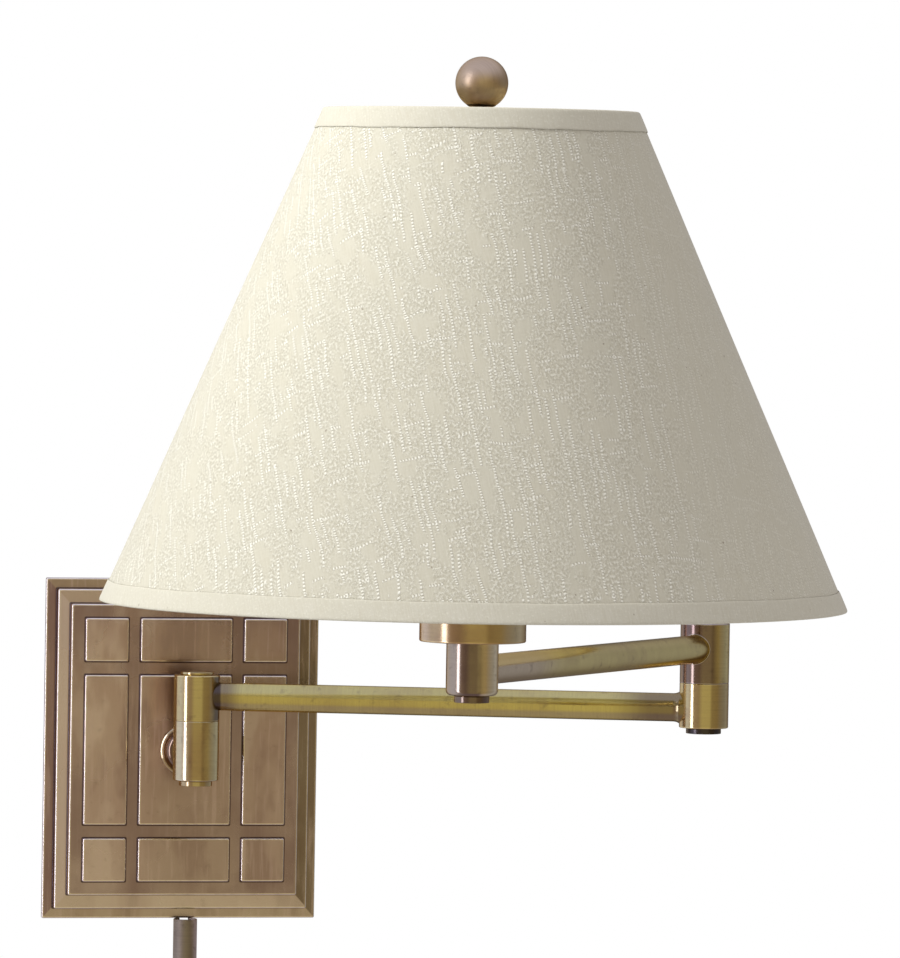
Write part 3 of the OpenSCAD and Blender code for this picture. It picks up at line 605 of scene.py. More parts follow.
# Directions for painted reflection, highlight and shade on one side of a part: along its own axis, towards the
# camera's right, or up and in front.
ALONG, RIGHT = (0, 0, 1), (1, 0, 0)
OLIVE, TAN, UMBER = (0.55, 0.44, 0.19), (0.47, 0.335, 0.155), (0.20, 0.145, 0.09)
REFLECTION_SIDE = (math.cos(-YAW), math.sin(-YAW), 0)
REFLECTION_SIDE_UP = (math.cos(-YAW - UPPER_ANGLE), math.sin(-YAW - UPPER_ANGLE), 0)
TOP_FRONT = (0.5 * REFLECTION_SIDE_UP[1], -0.5 * REFLECTION_SIDE_UP[0], 0.85)
FINIAL_LIT = TOP_FRONT[2] * (SHADE_HIGH + FINIAL_R)
barrel_brass = brass("barrel_brass", OLIVE, TAN, UMBER, (0.10, 0.17))
# Painted reflection: the lower wall barrel has a browner middle and lighter gold bands painted to either side of it.
wall_low_brass = brass(
    "wall_low_brass", (0.45, 0.335, 0.15), (0.40, 0.28, 0.13), UMBER, (0.10, 0.17), bright=(0.7, 0.6, 0.35),
    sides=[(REFLECTION_SIDE, 3.5, 8, (0.70, 0.60, 0.27)), (REFLECTION_SIDE, -1, -4.5, (0.60, 0.50, 0.26))])
# Painted shade: the upper wall barrel is painted dark on its side towards the arm's tube.
wall_top_brass = brass(
    "wall_top_brass", OLIVE, TAN, UMBER, (0.10, 0.17), sides=[(RIGHT, 8, 11.2, (0.185, 0.155, 0.10))])
# Painted reflection and shade: the lower tube is painted brown before the elbow and beside its wall collar, and near
# black where it meets the barrel.
lower_brass = brass(
    "lower_brass", (0.68, 0.575, 0.185), (0.60, 0.49, 0.17), UMBER, (0.13, 0.2),
    sides=[(ALONG, ARM - 52, ARM - 24, (0.32, 0.245, 0.11)),
           (ALONG, WALL_R + WALL_COLLAR + 5, WALL_R + 3, (0.33, 0.255, 0.12)),
           (ALONG, WALL_R + 1.8, WALL_R + 0.6, (0.10, 0.075, 0.05))])
# Painted reflection: the upper tube is painted paler and less yellow over its stretch before the post.
upper_brass = brass(
    "upper_brass", (0.66, 0.56, 0.215), (0.58, 0.48, 0.20), UMBER, (0.15, 0.22),
    sides=[(ALONG, ARM - 95, ARM - 45, (0.60, 0.50, 0.30))])
# Painted reflection: the upper arm's barrels are painted a darker brown than the others, with an olive band on their
# camera-right side.
brown_barrel = brass(
    "brown_barrel", (0.235, 0.17, 0.105), (0.20, 0.135, 0.095), (0.12, 0.085, 0.06), (0.11, 0.18),
    blotch=(0.38, 0.6), bright=(0.5, 0.42, 0.3), sides=[(REFLECTION_SIDE_UP, 2.5, 7.5, (0.66, 0.55, 0.22))])
# Painted reflection: the cup is painted lighter on both sides of its middle.
cup_brass = brass(
    "cup_brass", (0.50, 0.37, 0.165), (0.43, 0.30, 0.14), UMBER, (0.12, 0.18),
    sides=[(REFLECTION_SIDE_UP, 6, 16, (0.64, 0.52, 0.25)), (REFLECTION_SIDE_UP, -19, -23, (0.60, 0.46, 0.27))])
# Painted reflection: the cord cover is painted lighter along its right-hand side.
cover_brass = brass(
    "cover_brass", (0.30, 0.25, 0.165), (0.25, 0.20, 0.135), (0.14, 0.11, 0.08), (0.52, 0.62),
    sides=[(RIGHT, 4, 8, (0.62, 0.51, 0.40))])
# Painted reflection: the post is painted dark brown at its middle, pale gold towards the camera's right and lighter
# brown towards its left.
post_brass = brass(
    "post_brass", (0.225, 0.165, 0.105), (0.195, 0.138, 0.095), (0.14, 0.10, 0.07), (0.11, 0.18), blotch=(0.38, 0.6),
    sides=[(REFLECTION_SIDE_UP, 1.5, 6, (0.78, 0.66, 0.36)), (REFLECTION_SIDE_UP, -3, -8, (0.39, 0.31, 0.19))])
brown_cap = brass(
    "brown_cap", (0.20, 0.145, 0.09), (0.165, 0.115, 0.075), (0.10, 0.07, 0.05), (0.14, 0.22),
    bright=(0.32, 0.25, 0.15))
# Painted highlight on the ball's top front, and painted shadow, near black, at its foot just above the trim.
finial_brass = brass(
    "finial_brass", (0.46, 0.335, 0.165), (0.39, 0.265, 0.135), (0.22, 0.15, 0.09), (0.38, 0.46),
    blotch=(0.4, 0.66), lines=False,
    sides=[(TOP_FRONT, FINIAL_LIT + 2, FINIAL_LIT + 12, (0.66, 0.50, 0.285)),
           (ALONG, SHADE_HIGH + 2.6, SHADE_HIGH + 1.8, (0.03, 0.024, 0.02))])
# Near-black brass: the switch knob's own colour, and painted shade on the elbow's bottom cap.
dark_brass = brass(
    "dark_brass", (0.075, 0.062, 0.05), (0.055, 0.045, 0.036), (0.03, 0.025, 0.02), (0.2, 0.3),
    bright=(0.14, 0.12, 0.09))
BRIGHT = ((0.80, 0.64, 0.30), (0.72, 0.55, 0.25), (0.45, 0.33, 0.16), (0.16, 0.28))
bright_brass = brass("bright_brass", *BRIGHT)
bright_node = brass("bright_node", *BRIGHT, own=False)
plate_finish = plate_brass()
zinc = plain("zinc", (0.62, 0.61, 0.58), (0.72, 0.72, 0.70), 60, (0.28, 0.42), 1.0)
steel = plain("steel", (0.56, 0.56, 0.57), (0.66, 0.66, 0.66), 45, (0.3, 0.45), 1.0)
phenolic = plain("phenolic", (0.035, 0.028, 0.026), (0.055, 0.043, 0.038), 80, (0.3, 0.5))
insulator = plain("insulator", (0.42, 0.33, 0.23), (0.52, 0.42, 0.30), 120, (0.75, 0.9))
lead = plain("lead", (0.50, 0.39, 0.17), (0.60, 0.48, 0.22), 150, (0.4, 0.6))
bulb_white = plain("bulb_white", (0.90, 0.90, 0.87), (0.94, 0.94, 0.92), 40, (0.22, 0.34), own=True,
                   Coat_Weight=0.4, Coat_Roughness=0.08)
bulb_zinc = plain("bulb_zinc", (0.66, 0.65, 0.62), (0.78, 0.77, 0.74), 90, (0.22, 0.36), 1.0, own=True)
liner = plain("liner", (0.88, 0.87, 0.82), (0.93, 0.92, 0.88), 25, (0.5, 0.65), own=True)
linen_body = linen("linen_body")
linen_edge = linen("linen_edge", trim=True)

# ---- wall plate


def outline(hx, hz, depth, radius=0.8, steps=3):
    """The corners of a rectangle on the plate, rounded, at a distance off the wall."""
    points = []
    for sx, sz, start in ((1, 1, 0), (-1, 1, 90), (-1, -1, 180), (1, -1, 270)):
        for k in range(steps + 1):
            a = math.radians(start + 90 * k / steps)
            points.append(Vector((sx * (hx - radius) + radius * math.cos(a), -depth,
                                  sz * (hz - radius) + radius * math.sin(a))))
    return points


def step_rings(work, levels, shift=(0, 0), first=None):
    """Bands of faces between rectangles (half width, half height, depth, wear); returns the last ring."""
    wear = work.verts.layers.float["wear"]
    ring = first
    for hx, hz, depth, worn in levels:
        fresh = [work.verts.new(p + Vector((shift[0], 0, shift[1]))) for p in outline(hx, hz, depth)]
        for v in fresh:
            v[wear] = worn
        if ring:
            for k in range(len(ring)):
                n = (k + 1) % len(ring)
                work.faces.new([ring[k], ring[n], fresh[n], fresh[k]])
        ring = fresh
    return ring


def edge_levels(hx, hz, low, high, foot=0.4, edge=0.75):
    """One step of the plate: a small fillet at its foot, its side, and a rounded edge at its top."""
    levels = [(hx + foot + 0.45, hz + foot + 0.45, low, 0), (hx + foot, hz + foot, low, -1),
              (hx + 0.1, hz + 0.1, low + 0.1, -1), (hx, hz, low + foot, -0.8)]
    for k in range(4):
        a = math.pi / 2 * k / 3
        levels.append((hx - edge * (1 - math.cos(a)), hz - edge * (1 - math.cos(a)),
                       high - edge * (1 - math.sin(a)), 1.0 if 0 < k < 3 else 0.5))
    levels.append((hx - edge - 0.25, hz - edge - 0.25, high, 0))
    return levels


def plate_side(work, thick, first):
    """One side of the pressed sheet: thick is 0 for the front, and the sheet's thickness for the back."""
    half_w, half_h = PLATE_W / 2 - thick, PLATE_H / 2 - thick
    ring = first
    low = 0
    for inset_x, inset_z, high in TIERS:
        if thick and not inset_x:
            low = high - thick
            continue
        hx, hz = half_w - inset_x, half_h - inset_z
        levels = edge_levels(hx, hz, low, high - thick) if inset_x else [
            (hx, hz, 0, 0), *edge_levels(hx, hz, 0, high)[4:]]
        if thick and inset_x == TIERS[1][0]:
            levels = [(hx, hz, 0, 0)] + levels[4:]
        ring = step_rings(work, levels, first=ring)
        low = high - thick
    face_w = PLATE_W - 2 * TIERS[2][0] - 2 * BORDER
    face_h = PLATE_H - 2 * TIERS[2][1] - 2 * BORDER
    widths = [SMALL_PANEL, face_w - 2 * (SMALL_PANEL + GAP[0]), SMALL_PANEL]
    heights = [SMALL_PANEL, face_h - 2 * (SMALL_PANEL + GAP[1]), SMALL_PANEL]
    xs = [-(widths[1] + SMALL_PANEL) / 2 - GAP[0], 0, (widths[1] + SMALL_PANEL) / 2 + GAP[0]]
    zs = [-(heights[1] + SMALL_PANEL) / 2 - GAP[1], 0, (heights[1] + SMALL_PANEL) / 2 + GAP[1]]
    holes = [ring]
    for i in range(3):
        for j in range(3):
            levels = edge_levels(widths[i] / 2 - thick, heights[j] / 2 - thick, low, FRONT - thick)
            foot = step_rings(work, levels[:1], (xs[i], zs[j]))
            top = step_rings(work, levels[1:], (xs[i], zs[j]), foot)
            hx, hz = widths[i] / 2 - thick - CROWN_INSET, heights[j] / 2 - thick - CROWN_INSET
            inner = step_rings(work, [(hx, hz, FRONT - thick + PANEL_CROWN, 0)], (xs[i], zs[j]), top)
            work.faces.new(inner)
            holes.append(foot)
    edges = [work.edges.get((r[k], r[(k + 1) % len(r)])) or work.edges.new((r[k], r[(k + 1) % len(r)]))
             for r in holes for k in range(len(r))]
    bmesh.ops.triangle_fill(work, use_beauty=True, edges=edges)


def wall_plate():
    work = bmesh.new()
    work.verts.layers.float.new("wear")
    back = [(PLATE_W / 2 - TIERS[1][0] - SHEET, PLATE_H / 2 - TIERS[1][1] - SHEET, 0, 0)]
    rim = step_rings(work, [(PLATE_W / 2, PLATE_H / 2, 0, 0)])
    plate_side(work, 0, rim)
    inner = step_rings(work, back, first=rim)
    plate_side(work, SHEET, inner)
    bmesh.ops.remove_doubles(work, verts=work.verts, dist=0.0001)
    bmesh.ops.recalc_face_normals(work, faces=work.faces)
    shape = Shape()
    wear = work.verts.layers.float["wear"]
    work.verts.index_update()
    shape.add([v.co for v in work.verts], [[v.index for v in f.verts] for f in work.faces],
              wear=[v[wear] for v in work.verts])
    work.free()
    return build("wall_plate", shape, "wall_mount", plate_finish, ["backplate"])


wall_plate()

rosette_foot = rounded([(0, 0, 0), (ROSETTE_R, 0, 0.1), (ROSETTE_R, 1.5, 0.3), (12.5, 2.1, 0.2), (11.9, 2.0, 0.2)])
dome = [(7 + 4.7 * math.cos(a), 2.1 + 5.8 * math.sin(a), 0.0) for a in np.radians(np.arange(6, 85, 7))]
rosette_brass = brass(
    "rosette_brass", (0.22, 0.145, 0.085), (0.17, 0.105, 0.065), (0.10, 0.065, 0.045), (0.11, 0.17),
    bright=(0.66, 0.52, 0.26))
turned("rosette_dome", rosette_foot + dome + [(7.0, 8.0, 0), (4.9, 8.0, 0), (0, 8.0, 0)], move(0, -FRONT, 0) @ OUT,
       rosette_brass, "rosette", "wall_mount")

# ---- wall knuckle
fixed = Shape().lathe(barrel(WALL_Z[0], WALL_Z[1], WALL_R, 0.6, 0.25), at_wall())
neck = [(NECK_R - 0.02, 4, 0), (NECK_R - 0.02, AXIS_OUT - FRONT - 7.5, 0)]
fixed.lathe(neck, at_wall() @ Matrix.Rotation(-math.pi / 2, 4, "X"))
fixed.sweep([saddle(WALL_R, NECK_R, 0.05, 0, TURN * k / 60) for k in range(60)], 0.45,
            at_wall(math.pi / 2), sides=10, closed=True, wear=0.6)
build("wall_knuckle", fixed, "wall_mount", wall_low_brass, ["wall_barrel"])


def end_cap(name, place, end, thick, up, r, body, material, node):
    """The bevelled disc in a barrel's end, with a shallow groove turned in its face."""
    s = 1 if up else -1
    profile = rounded([(0, end - 0.6 * s, 0), (r - 0.5, end - 0.6 * s, 0), (r - 0.5, end + 0.35 * s, 0.1),
                       (r, end + 0.4 * s, 0.12), (r, end + thick * s, 0.35), (4.6, end + thick * s, 0.1),
                       (4.3, end + (thick - 0.3) * s, 0.1), (4.0, end + thick * s, 0.1), (0, end + thick * s, 0)])
    profile = [(x, z, 0.15 * worn) for x, z, worn in profile]
    slot = "dark_brass" if material is dark_brass else "antique_brass"
    return turned(name, profile, place, material, node, body, slot)


end_cap("wall_cap_low", at_wall(), WALL_Z[0], 2.8, False, CAP_R, "wall_mount", barrel_brass, "wall_barrel_cap")

turned("wall_knuckle_top", barrel(WALL_Z[2], WALL_Z[3], WALL_R, 0.25, 0.6), ON_LOWER, wall_top_brass,
       "lower_wall_barrel", "lower_arm")
end_cap("wall_cap_top", ON_LOWER, WALL_Z[3], 1.6, True, CAP_R, "lower_arm", barrel_brass, "lower_wall_cap")

# ---- arms
# The lower tube's profile: a fine step where it leaves its collar, and a flare where it meets the elbow.
joint_at = WALL_R + WALL_COLLAR
flare_at = ARM - ELBOW_R - FLARE_L
lower = [(TUBE_R - 0.1, 4, 0), (TUBE_R - 0.1, joint_at - 0.06, 0), (TUBE_R, joint_at + 0.06, 0),
         (TUBE_R, ARM / 2, 0), (TUBE_R, flare_at - 1, 0)]
for k in range(1, 9):
    rise = 1 - math.cos(math.pi / 2 * k / 8)
    lower.append((TUBE_R + (FLARE_R - TUBE_R) * rise, flare_at - 1 + (FLARE_L + 1.4) * k / 8, 0))
lower.append((FLARE_R, ARM - 5, 0))
turned("lower_arm_tube", lower, ON_LOWER @ move(0, 0, LOWER_Z) @ ALONG_X, lower_brass, "lower_tube", "lower_arm")
turned("elbow_knuckle_low", barrel(ELBOW_Z[0], ELBOW_Z[1], ELBOW_R, 0.6, 0.25), AT_ELBOW, barrel_brass,
       "lower_elbow_barrel", "lower_arm")
# Painted shade: the elbow's bottom cap is the same brass, painted near black for the shade under it.
end_cap("elbow_cap_low", AT_ELBOW, ELBOW_Z[0], 2.9, False, CAP_R + 0.4, "lower_arm", dark_brass, "lower_elbow_cap")

elbow_high = Shape().lathe(barrel(ELBOW_Z[2], ELBOW_Z[3], ELBOW_R, 0.25, 0.6), ON_UPPER)
elbow_high.sweep([saddle(ELBOW_R, TUBE_R + 0.35, 0.05, UPPER_Z, TURN * k / 72) for k in range(72)], 0.4,
                 ON_UPPER, sides=10, closed=True, wear=1.0)
build("elbow_knuckle_top", elbow_high, "upper_arm", brown_barrel, ["upper_elbow_barrel"])
end_cap("elbow_cap_top", ON_UPPER, ELBOW_Z[3], 1.6, True, CAP_R, "upper_arm", brown_barrel, "upper_elbow_cap")

upper = [(TUBE_R, 5, 0), (TUBE_R, ARM / 2, 0), (TUBE_R, ARM - 5, 0)]
turned("upper_arm_tube", upper, ON_UPPER @ move(0, 0, UPPER_Z) @ ALONG_X, upper_brass, "upper_tube")

post_profile = rounded([(0, POST_LOW, 0), (ELBOW_R, POST_LOW, 2.5), (ELBOW_R, POST_HIGH, 0.3), (0, POST_HIGH, 0)], 8)
post_profile = [(r, z, 0.0) for r, z, w in post_profile]
turned("post", post_profile, AT_POST, post_brass, "post_barrel")
end_cap("post_cap_low", AT_POST, POST_LOW, 3.4, False, CAP_R, "upper_arm", brown_cap, "post_cap")

# ---- lamp holder
cup_top = POST_HIGH + CUP_H
cup_in, cup_floor = CUP_R - 1.2, POST_HIGH + 1.2
cup_profile = rounded([(5, POST_HIGH, 0), (CUP_R, POST_HIGH, 0.8), (CUP_R, cup_top, 0.4), (cup_in, cup_top, 0.3),
                       (cup_in, cup_floor, 0.6), (5, cup_floor, 0)])
turned("cup", cup_profile, AT_POST, cup_brass, "socket_cup", closed=True)

base = SOCKET_Z
bead_r, inner_r = SOCKET_R + 0.35, SOCKET_R - 0.6
bell = rounded([(4.9, base, 0), (8, base, 0.4), (8, base + 3, 0.6), (12, base + 4.5, 2),
                (SOCKET_R, base + 9.2, 2.5), (SOCKET_R, base + 16, 0.4), (bead_r, base + 16.6, 0.3),
                (bead_r, base + 19.4, 0.3), (SOCKET_R - 0.1, base + 20, 0.2), (inner_r, base + 20, 0),
                (inner_r, base + 10.4, 1.5), (12, base + 5.4, 1.5), (4.9, base + 4, 0)])
turned("socket_bell", bell, AT_POST, bright_brass, "socket_cap", slot="bright_brass", closed=True)
sleeve_r = SOCKET_R - 0.65
sleeve_low, sleeve_top = SHELL_Z - 4, SHELL_Z + 44
sleeve = [(sleeve_r, sleeve_low, 0)]
for z in (SHELL_Z + 26, SHELL_Z + 30, SHELL_Z + 34):
    sleeve += [(sleeve_r, z, 0.3), (sleeve_r - 0.3, z + 0.8, 0.3), (sleeve_r, z + 1.6, 0.3)]
sleeve += [(sleeve_r, sleeve_top - 2, 0.4), (sleeve_r + 0.35, sleeve_top - 1.2, 0.35),
           (sleeve_r + 0.2, sleeve_top, 0.3), (sleeve_r - 0.6, sleeve_top, 0.2), (sleeve_r - 0.6, sleeve_low, 0)]
turned("socket_sleeve", rounded(sleeve, 3), AT_POST, bright_brass, "socket_shell", slot="bright_brass", closed=True)

knob_place = ON_UPPER @ move(ARM + 24, 0, KNOB_Z) @ ALONG_X
knob_profile = rounded([(0, 0, 0), (5.6, 0, 0.8), (6.2, 2.5, 1), (6.2, 11, 1), (5.2, 13, 0.9), (0, 13, 0)])


def flutes(angle, radius, height):
    """The knob's grip: shallow flutes on its side, none on its ends."""
    on_side = 1 if 0.8 < height < 12.4 else 0
    return FLUTE_DEPTH * math.cos(KNOB_FLUTES * angle) * min(1, max(0, radius - 4.6)) * on_side


turned("knob", knob_profile, knob_place, dark_brass, "switch_knob", "switch", "dark_brass", sides=144, rib=flutes)

# ---- bulb
base_profile = [(0, 0, 0), (9.5, 0, 0), (10.6, 0.6, 0)]
base_profile += [(SCREW_R - THREAD_DEPTH * math.cos(TURN * z / THREAD_PITCH), 1.8 + z, 0)
                 for z in np.arange(0, 18.1, 0.3)]
base_profile += [(12.9, 21, 0), (12.9, 24, 0), (11.6, 24.2, 0), (0, 24.2, 0)]
place = AT_POST @ move(0, 0, BULB_Z)
turned("bulb_screw", base_profile, place, bulb_zinc, "bulb_base", slot="zinc")
neck_r, neck_z = 11.5, 28
globe = [(11.4, 23.5, 0), (neck_r, neck_z, 0)]
for k in range(1, 12):
    s = k / 12
    ease = s * s * (3 - 2 * s)
    wider = GLOBE_R * math.cos(math.radians(GLOBE_FROM)) - neck_r
    globe.append((neck_r + wider * (0.35 * s + 0.65 * ease), neck_z + (60.1 - neck_z) * s, 0))
globe += [(GLOBE_R * math.cos(a), GLOBE_Z + GLOBE_R * math.sin(a), 0)
          for a in np.radians(np.linspace(-GLOBE_FROM, 88, 32))]
globe.append((0, GLOBE_Z + GLOBE_R, 0))
turned("bulb", globe, place, bulb_white, "bulb_glass", slot="bulb_glass", flat_normals=False)

# ---- harp, spider and finial


def arc(y, z, radius, start, end, steps):
    angles = [math.radians(start + (end - start) * k / steps) for k in range(steps + 1)]
    return [(y + radius * math.cos(a), z + radius * math.sin(a)) for a in angles]


def harp_path():
    foot, foot_z, knee_r, knee, belly_r, lean, crown_r = 21, SOCKET_Z + 14, 22, 55, 48, 10, 16
    knee_z, crown_top = foot_z + 6, HUB_Z - 2.4
    cos_k, sin_k = math.cos(math.radians(knee)), math.sin(math.radians(knee))
    cos_l, sin_l = math.cos(math.radians(lean)), math.sin(math.radians(lean))
    belly_y = foot + knee_r - (knee_r + belly_r) * cos_k
    belly_z = knee_z + (knee_r + belly_r) * sin_k
    run = (crown_top - crown_r + crown_r * sin_l - belly_z - belly_r * sin_l) / cos_l
    crown_y = belly_y + belly_r * cos_l - run * sin_l - crown_r * cos_l
    half = [(foot, foot_z), (foot, foot_z + 3)] + arc(foot + knee_r, knee_z, knee_r, 180, 180 - knee, 12)
    half += arc(belly_y, belly_z, belly_r, 3 - knee, lean, 20)
    half += arc(crown_y, crown_top - crown_r, crown_r, lean, 90, 12)
    return [(0, y, z) for y, z in half] + [(0, -y, z) for y, z in reversed(half)]


build("harp_wire", Shape().sweep(harp_path(), HARP_WIRE, AT_POST), "upper_arm", bright_brass,
      ["harp"], False)

ring_top_z = SHADE_HIGH - TRIM_T - RING_WIRE - 0.2
ring_low_z = SHADE_LOW + TRIM_T + RING_WIRE + 0.2
inset = 1.1 * (SHADE_T + RING_WIRE) + 0.1
for name, z, node in (("ring_top", ring_top_z, "shade_top_ring"), ("ring_low", ring_low_z, "shade_bottom_ring")):
    radius = shade_r(z) - inset
    circle = [(radius + RING_WIRE * math.cos(a), z + RING_WIRE * math.sin(a), 0)
              for a in np.radians(np.arange(0, 360, 30))]
    turned(name, circle, AT_POST, bright_brass, node, slot="ring_wire", flat_normals=False, sides=192, closed=True)

hub = rounded([(HUB_BORE, HUB_Z, 0), (HUB_R, HUB_Z, 0.4), (HUB_R, HUB_Z + 2, 0.5), (5, HUB_Z + 2, 0.3),
               (HUB_BORE, HUB_Z + 1.8, 0)])
spider = Shape().lathe(hub, AT_POST, closed=True)
reach = shade_r(ring_top_z) - inset - RING_WIRE
for k in range(3):
    level = Matrix.Translation(AT_POST.translation) @ Matrix.Rotation(math.radians(90 + 120 * k), 4, "Z")
    path = [(9, 0, HUB_Z + 1), (13, 0, HUB_Z + 1), (18, 0, HUB_Z + 0.9)]
    path += [(18 + (reach - 20) * s, 0, HUB_Z + 0.9 + (ring_top_z - HUB_Z - 0.9) * s * s * (3 - 2 * s))
             for s in np.linspace(0.1, 1, 12)] + [(reach, 0, ring_top_z)]
    spider.sweep(path, SPIDER_WIRE, level, sides=14)
build("spider_arms", spider, "upper_arm", bright_brass, ["spider"])

finial_z = SHADE_HIGH + FINIAL_R
finial_neck = HUB_Z + 2
ball = [(FINIAL_R * math.cos(a), finial_z + FINIAL_R * math.sin(a), 0) for a in np.radians(np.linspace(-56, 89, 40))]
stem = rounded([(HUB_BORE, finial_neck, 0), (5.5, finial_neck, 0.3), (5.5, finial_z - 11.4, 0.6),
                (6.6, finial_z - 10.9, 0.3)])
turned("finial_ball", stem + ball + [(0, finial_z + FINIAL_R, 0)], AT_POST, finial_brass, "finial",
       slot="finial_brass", flat_normals=False)

# ---- shade
CONE = math.atan2(SHADE_BOTTOM_R - SHADE_TOP_R, SHADE_HIGH - SHADE_LOW)
GRAIN_BEARING = -math.pi / 2 - YAW + math.radians(31)
SEAM = GRAIN_BEARING + math.pi


def cone_piece(name, profile_at, materials, nodes, around=360, inner_from=None, inner_to=None):
    """A ring whose profile (radius, height) is closed and may change with bearing, with the cloth's own map.

    The map is the cone unrolled flat, so the weave runs straight up at one bearing and slants away from it.
    The profile's rows from inner_from to inner_to take the second material, which is the liner.
    """
    bearings = [SEAM + TURN * k / around for k in range(around)]
    rings = [profile_at(b) for b in bearings]
    rows = len(rings[0])
    shape = Shape()
    points = [(r * math.cos(b), r * math.sin(b), z) for b, ring in zip(bearings, rings) for r, z in ring]
    faces = []
    for k in range(around):
        n = (k + 1) % around
        for i in range(rows):
            j = (i + 1) % rows
            faces.append([k * rows + i, n * rows + i, n * rows + j, k * rows + j])
    shape.add(points, faces, Matrix.Translation(AT_POST.translation))
    made = build(name, shape, "upper_arm", materials, nodes)
    mesh = made.data
    weave = mesh.uv_layers.new(name="weave")
    apex = SHADE_HIGH + SHADE_TOP_R / SHADE_SLOPE
    uv = np.zeros(len(mesh.loops) * 2, np.float32)
    centre = AT_POST.translation
    for face in mesh.polygons:
        column, row = face.index // rows, face.index % rows
        if inner_from is not None and inner_from <= row < inner_to:
            face.material_index = 1
        for loop in face.loop_indices:
            p = mesh.vertices[mesh.loops[loop].vertex_index].co / MM
            turn = math.atan2(p.y - centre.y, p.x - centre.x) - SEAM
            turn = (turn + 1e-6) % TURN
            if column == around - 1 and turn < 0.5:
                turn += TURN
            along = (apex - p.z) / math.cos(CONE) * MM
            flat = (turn - math.pi) * math.sin(CONE)
            uv[2 * loop], uv[2 * loop + 1] = along * math.sin(flat), -along * math.cos(flat)
    weave.data.foreach_set("uv", uv)
    return made


def lap(bearing):
    """How far the cloth stands out where one end is glued over the other, at the seam."""
    off = ((bearing - SEAM + math.pi) % TURN - math.pi) * SHADE_BOTTOM_R
    if abs(off) >= LAP + 1.5:
        return 0.0
    return 0.35 * max(0.0, min(1.0, (off + LAP) / 1.5)) * max(0.0, min(1.0, (LAP - off) / LAP))


SHADE_ROWS = 40
shade_from, shade_to = SHADE_LOW + TRIM_T, SHADE_HIGH - TRIM_T


def shade_profile(bearing):
    heights = [shade_from + (shade_to - shade_from) * i / SHADE_ROWS for i in range(SHADE_ROWS + 1)]
    sway = [0.12 * math.sin(3 * bearing + 1 + z / 60) + 0.08 * math.sin(7 * bearing + z / 35) for z in heights]
    edge = [math.sin(math.pi * i / SHADE_ROWS) for i in range(SHADE_ROWS + 1)]
    outer = [(shade_r(z) + lap(bearing) - 0.15 + s * e, z) for z, s, e in zip(heights, sway, edge)]
    inner = [(shade_r(z) - SHADE_T - 0.15 + s * e, z) for z, s, e in zip(heights, sway, edge)]
    return outer + inner[::-1]


shade = cone_piece("shade_cloth", shade_profile, [linen_body, liner], ["shade_fabric"],
                   inner_from=SHADE_ROWS + 1, inner_to=2 * SHADE_ROWS + 1)


def trim_profile(edge_z, up):
    """A tape folded over a wire: its outer face, the roll over the edge, and its inner face."""
    s = 1 if up else -1

    def at(bearing):
        waver = 0.16 * math.sin(5 * bearing + 0.7) + 0.10 * math.sin(17 * bearing) + 0.05 * math.sin(41 * bearing)
        puff = 0.05 * math.sin(9 * bearing + 2) + 0.04 * math.sin(23 * bearing)
        foot = edge_z - s * (TRIM_H + waver)
        points = [(0.02, foot), (0.34, foot + s * 0.12), (0.46 + puff, foot + s * 0.9)]
        points += [(0.5 + puff, edge_z - s * z) for z in (7, 5, 3)]
        points += [(0.5, edge_z - s * 1.4), (0.40, edge_z - s * 0.55), (0.10, edge_z - s * 0.12)]
        points += [(-0.5, edge_z), (-1.4, edge_z), (-2.3, edge_z - s * 0.3), (-2.6, edge_z - s * 0.9)]
        points += [(-1.9, edge_z - s * 0.75), (-0.6, edge_z - s * 0.5), (-0.05, edge_z - s * 1.1)]
        return [(shade_r(z) + d, z) for d, z in points]

    return at


top_trim = cone_piece("trim_top", trim_profile(SHADE_HIGH, True), linen_edge, ["shade_top_trim"])
low_trim = cone_piece("trim_low", trim_profile(SHADE_LOW, False), linen_edge, ["shade_bottom_trim"])

# ---- cord cover


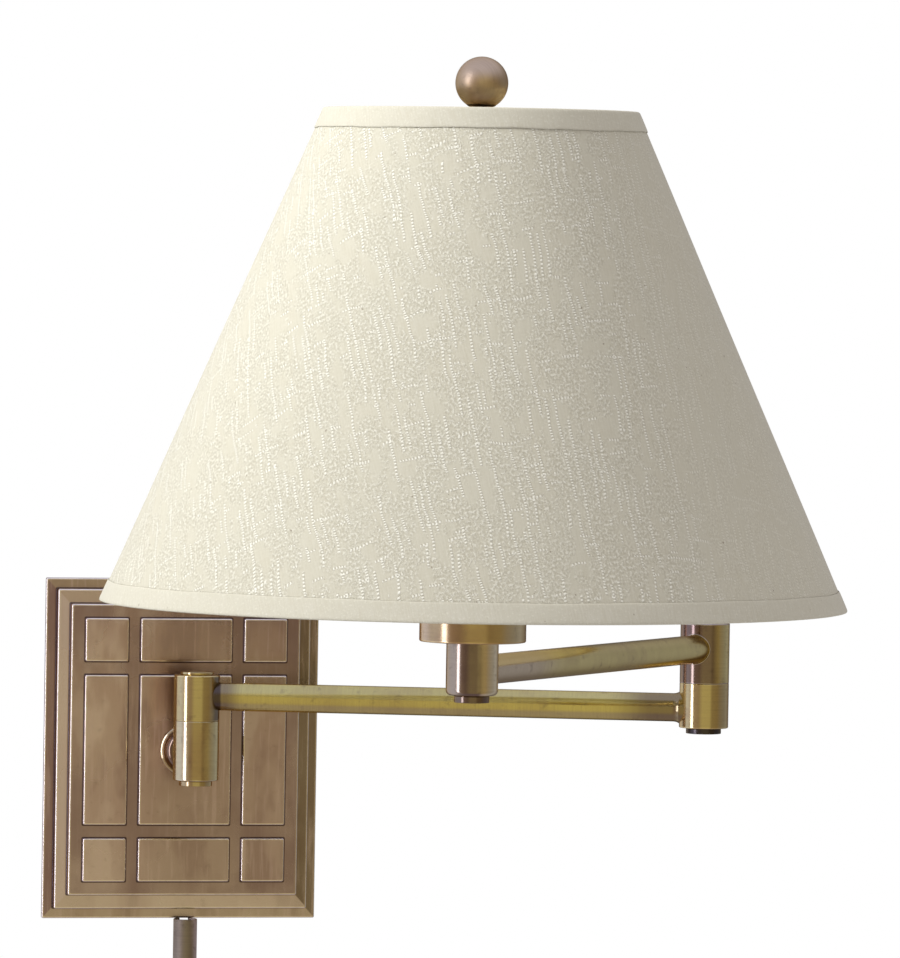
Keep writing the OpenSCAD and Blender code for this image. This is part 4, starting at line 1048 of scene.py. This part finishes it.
def channel():
    """A round channel, open along its back, with rolled lips at its ends."""
    gap = math.asin(COVER_SLOT / 2 / COVER_R)
    angles = np.linspace(math.pi / 2 + gap, math.pi / 2 + TURN - gap, 61)
    levels = [(COVER_LOW.z, -0.2, 1), (COVER_LOW.z + 0.3, 0, 1), (COVER_LOW.z + 1.2, 0, 0),
              ((COVER_LOW.z + COVER_HIGH.z) / 2, 0, 0), (COVER_HIGH.z - 1.2, 0, 0), (COVER_HIGH.z - 0.3, 0, 0),
              (COVER_HIGH.z, -0.2, 0)]
    centre = (COVER_LOW.x + COVER_HIGH.x) / 2
    points, wear, faces = [], [], []
    for side, inside in ((0, False), (1, True)):
        for z, shrink, worn in (levels if not inside else levels[::-1]):
            radius = COVER_R - (COVER_T + shrink if inside else -shrink)
            for a in angles:
                points.append((centre + radius * math.cos(a), -COVER_R + radius * math.sin(a), z))
                wear.append(worn * (0 if inside else 1))
    count, rows = len(angles), 2 * len(levels)
    for i in range(rows):
        j = (i + 1) % rows
        for k in range(count - 1):
            faces.append([i * count + k, i * count + k + 1, j * count + k + 1, j * count + k])
    for k in (0, count - 1):
        for i in range(len(levels) - 1):
            far_side = rows - 1 - i
            faces.append([i * count + k, (i + 1) * count + k, (far_side - 1) * count + k, far_side * count + k])
    return Shape().add(points, faces, wear=wear)


build("cover_channel", channel(), "wall_mount", cover_brass, ["cord_cover"])

# ---- CAD nodes that stay
KEPT = [
    (steel, "mounting_bar cover_clips wall_friction_washer elbow_friction_washer"),
    (zinc, "stem_nipple stem_washer wall_pivot elbow_pivot socket_nipple screw_shell switch_shaft"),
    (bright_node, "stem_nut wall_pivot_nut elbow_pivot_nut nipple_nut harp_saddle harp_ferrules harp_stud"),
    (bright_node, "centre_contact terminal_screws"),
    (lead, "lead_wall lead_lower lead_upper"),
    (insulator, "socket_insulator"),
    (phenolic, "socket_core bulb_contact"),
]
for material, names in KEPT:
    for name in names.split():
        mesh = frame["nodes"][name].data
        mesh.materials.clear()
        mesh.materials.append(material)

# ---- floor
floor_mesh = bpy.data.meshes.new("floor")
FLOOR_HALF, FLOOR_DROP = 2.2, 0.03
level = COVER_LOW.z * MM - FLOOR_DROP
corners = [(x * FLOOR_HALF, y * FLOOR_HALF, level) for x, y in ((-1, -1), (1, -1), (1, 1), (-1, 1))]
floor_mesh.from_pydata(corners, [], [(0, 1, 2, 3)])
floor = bpy.data.objects.new("floor", floor_mesh)
bpy.context.collection.objects.link(floor)
floor_mesh.materials.append(plain("floor_pale", (0.80, 0.80, 0.79), (0.83, 0.83, 0.82), 3, (0.8, 0.9)))
floor.visible_glossy = False
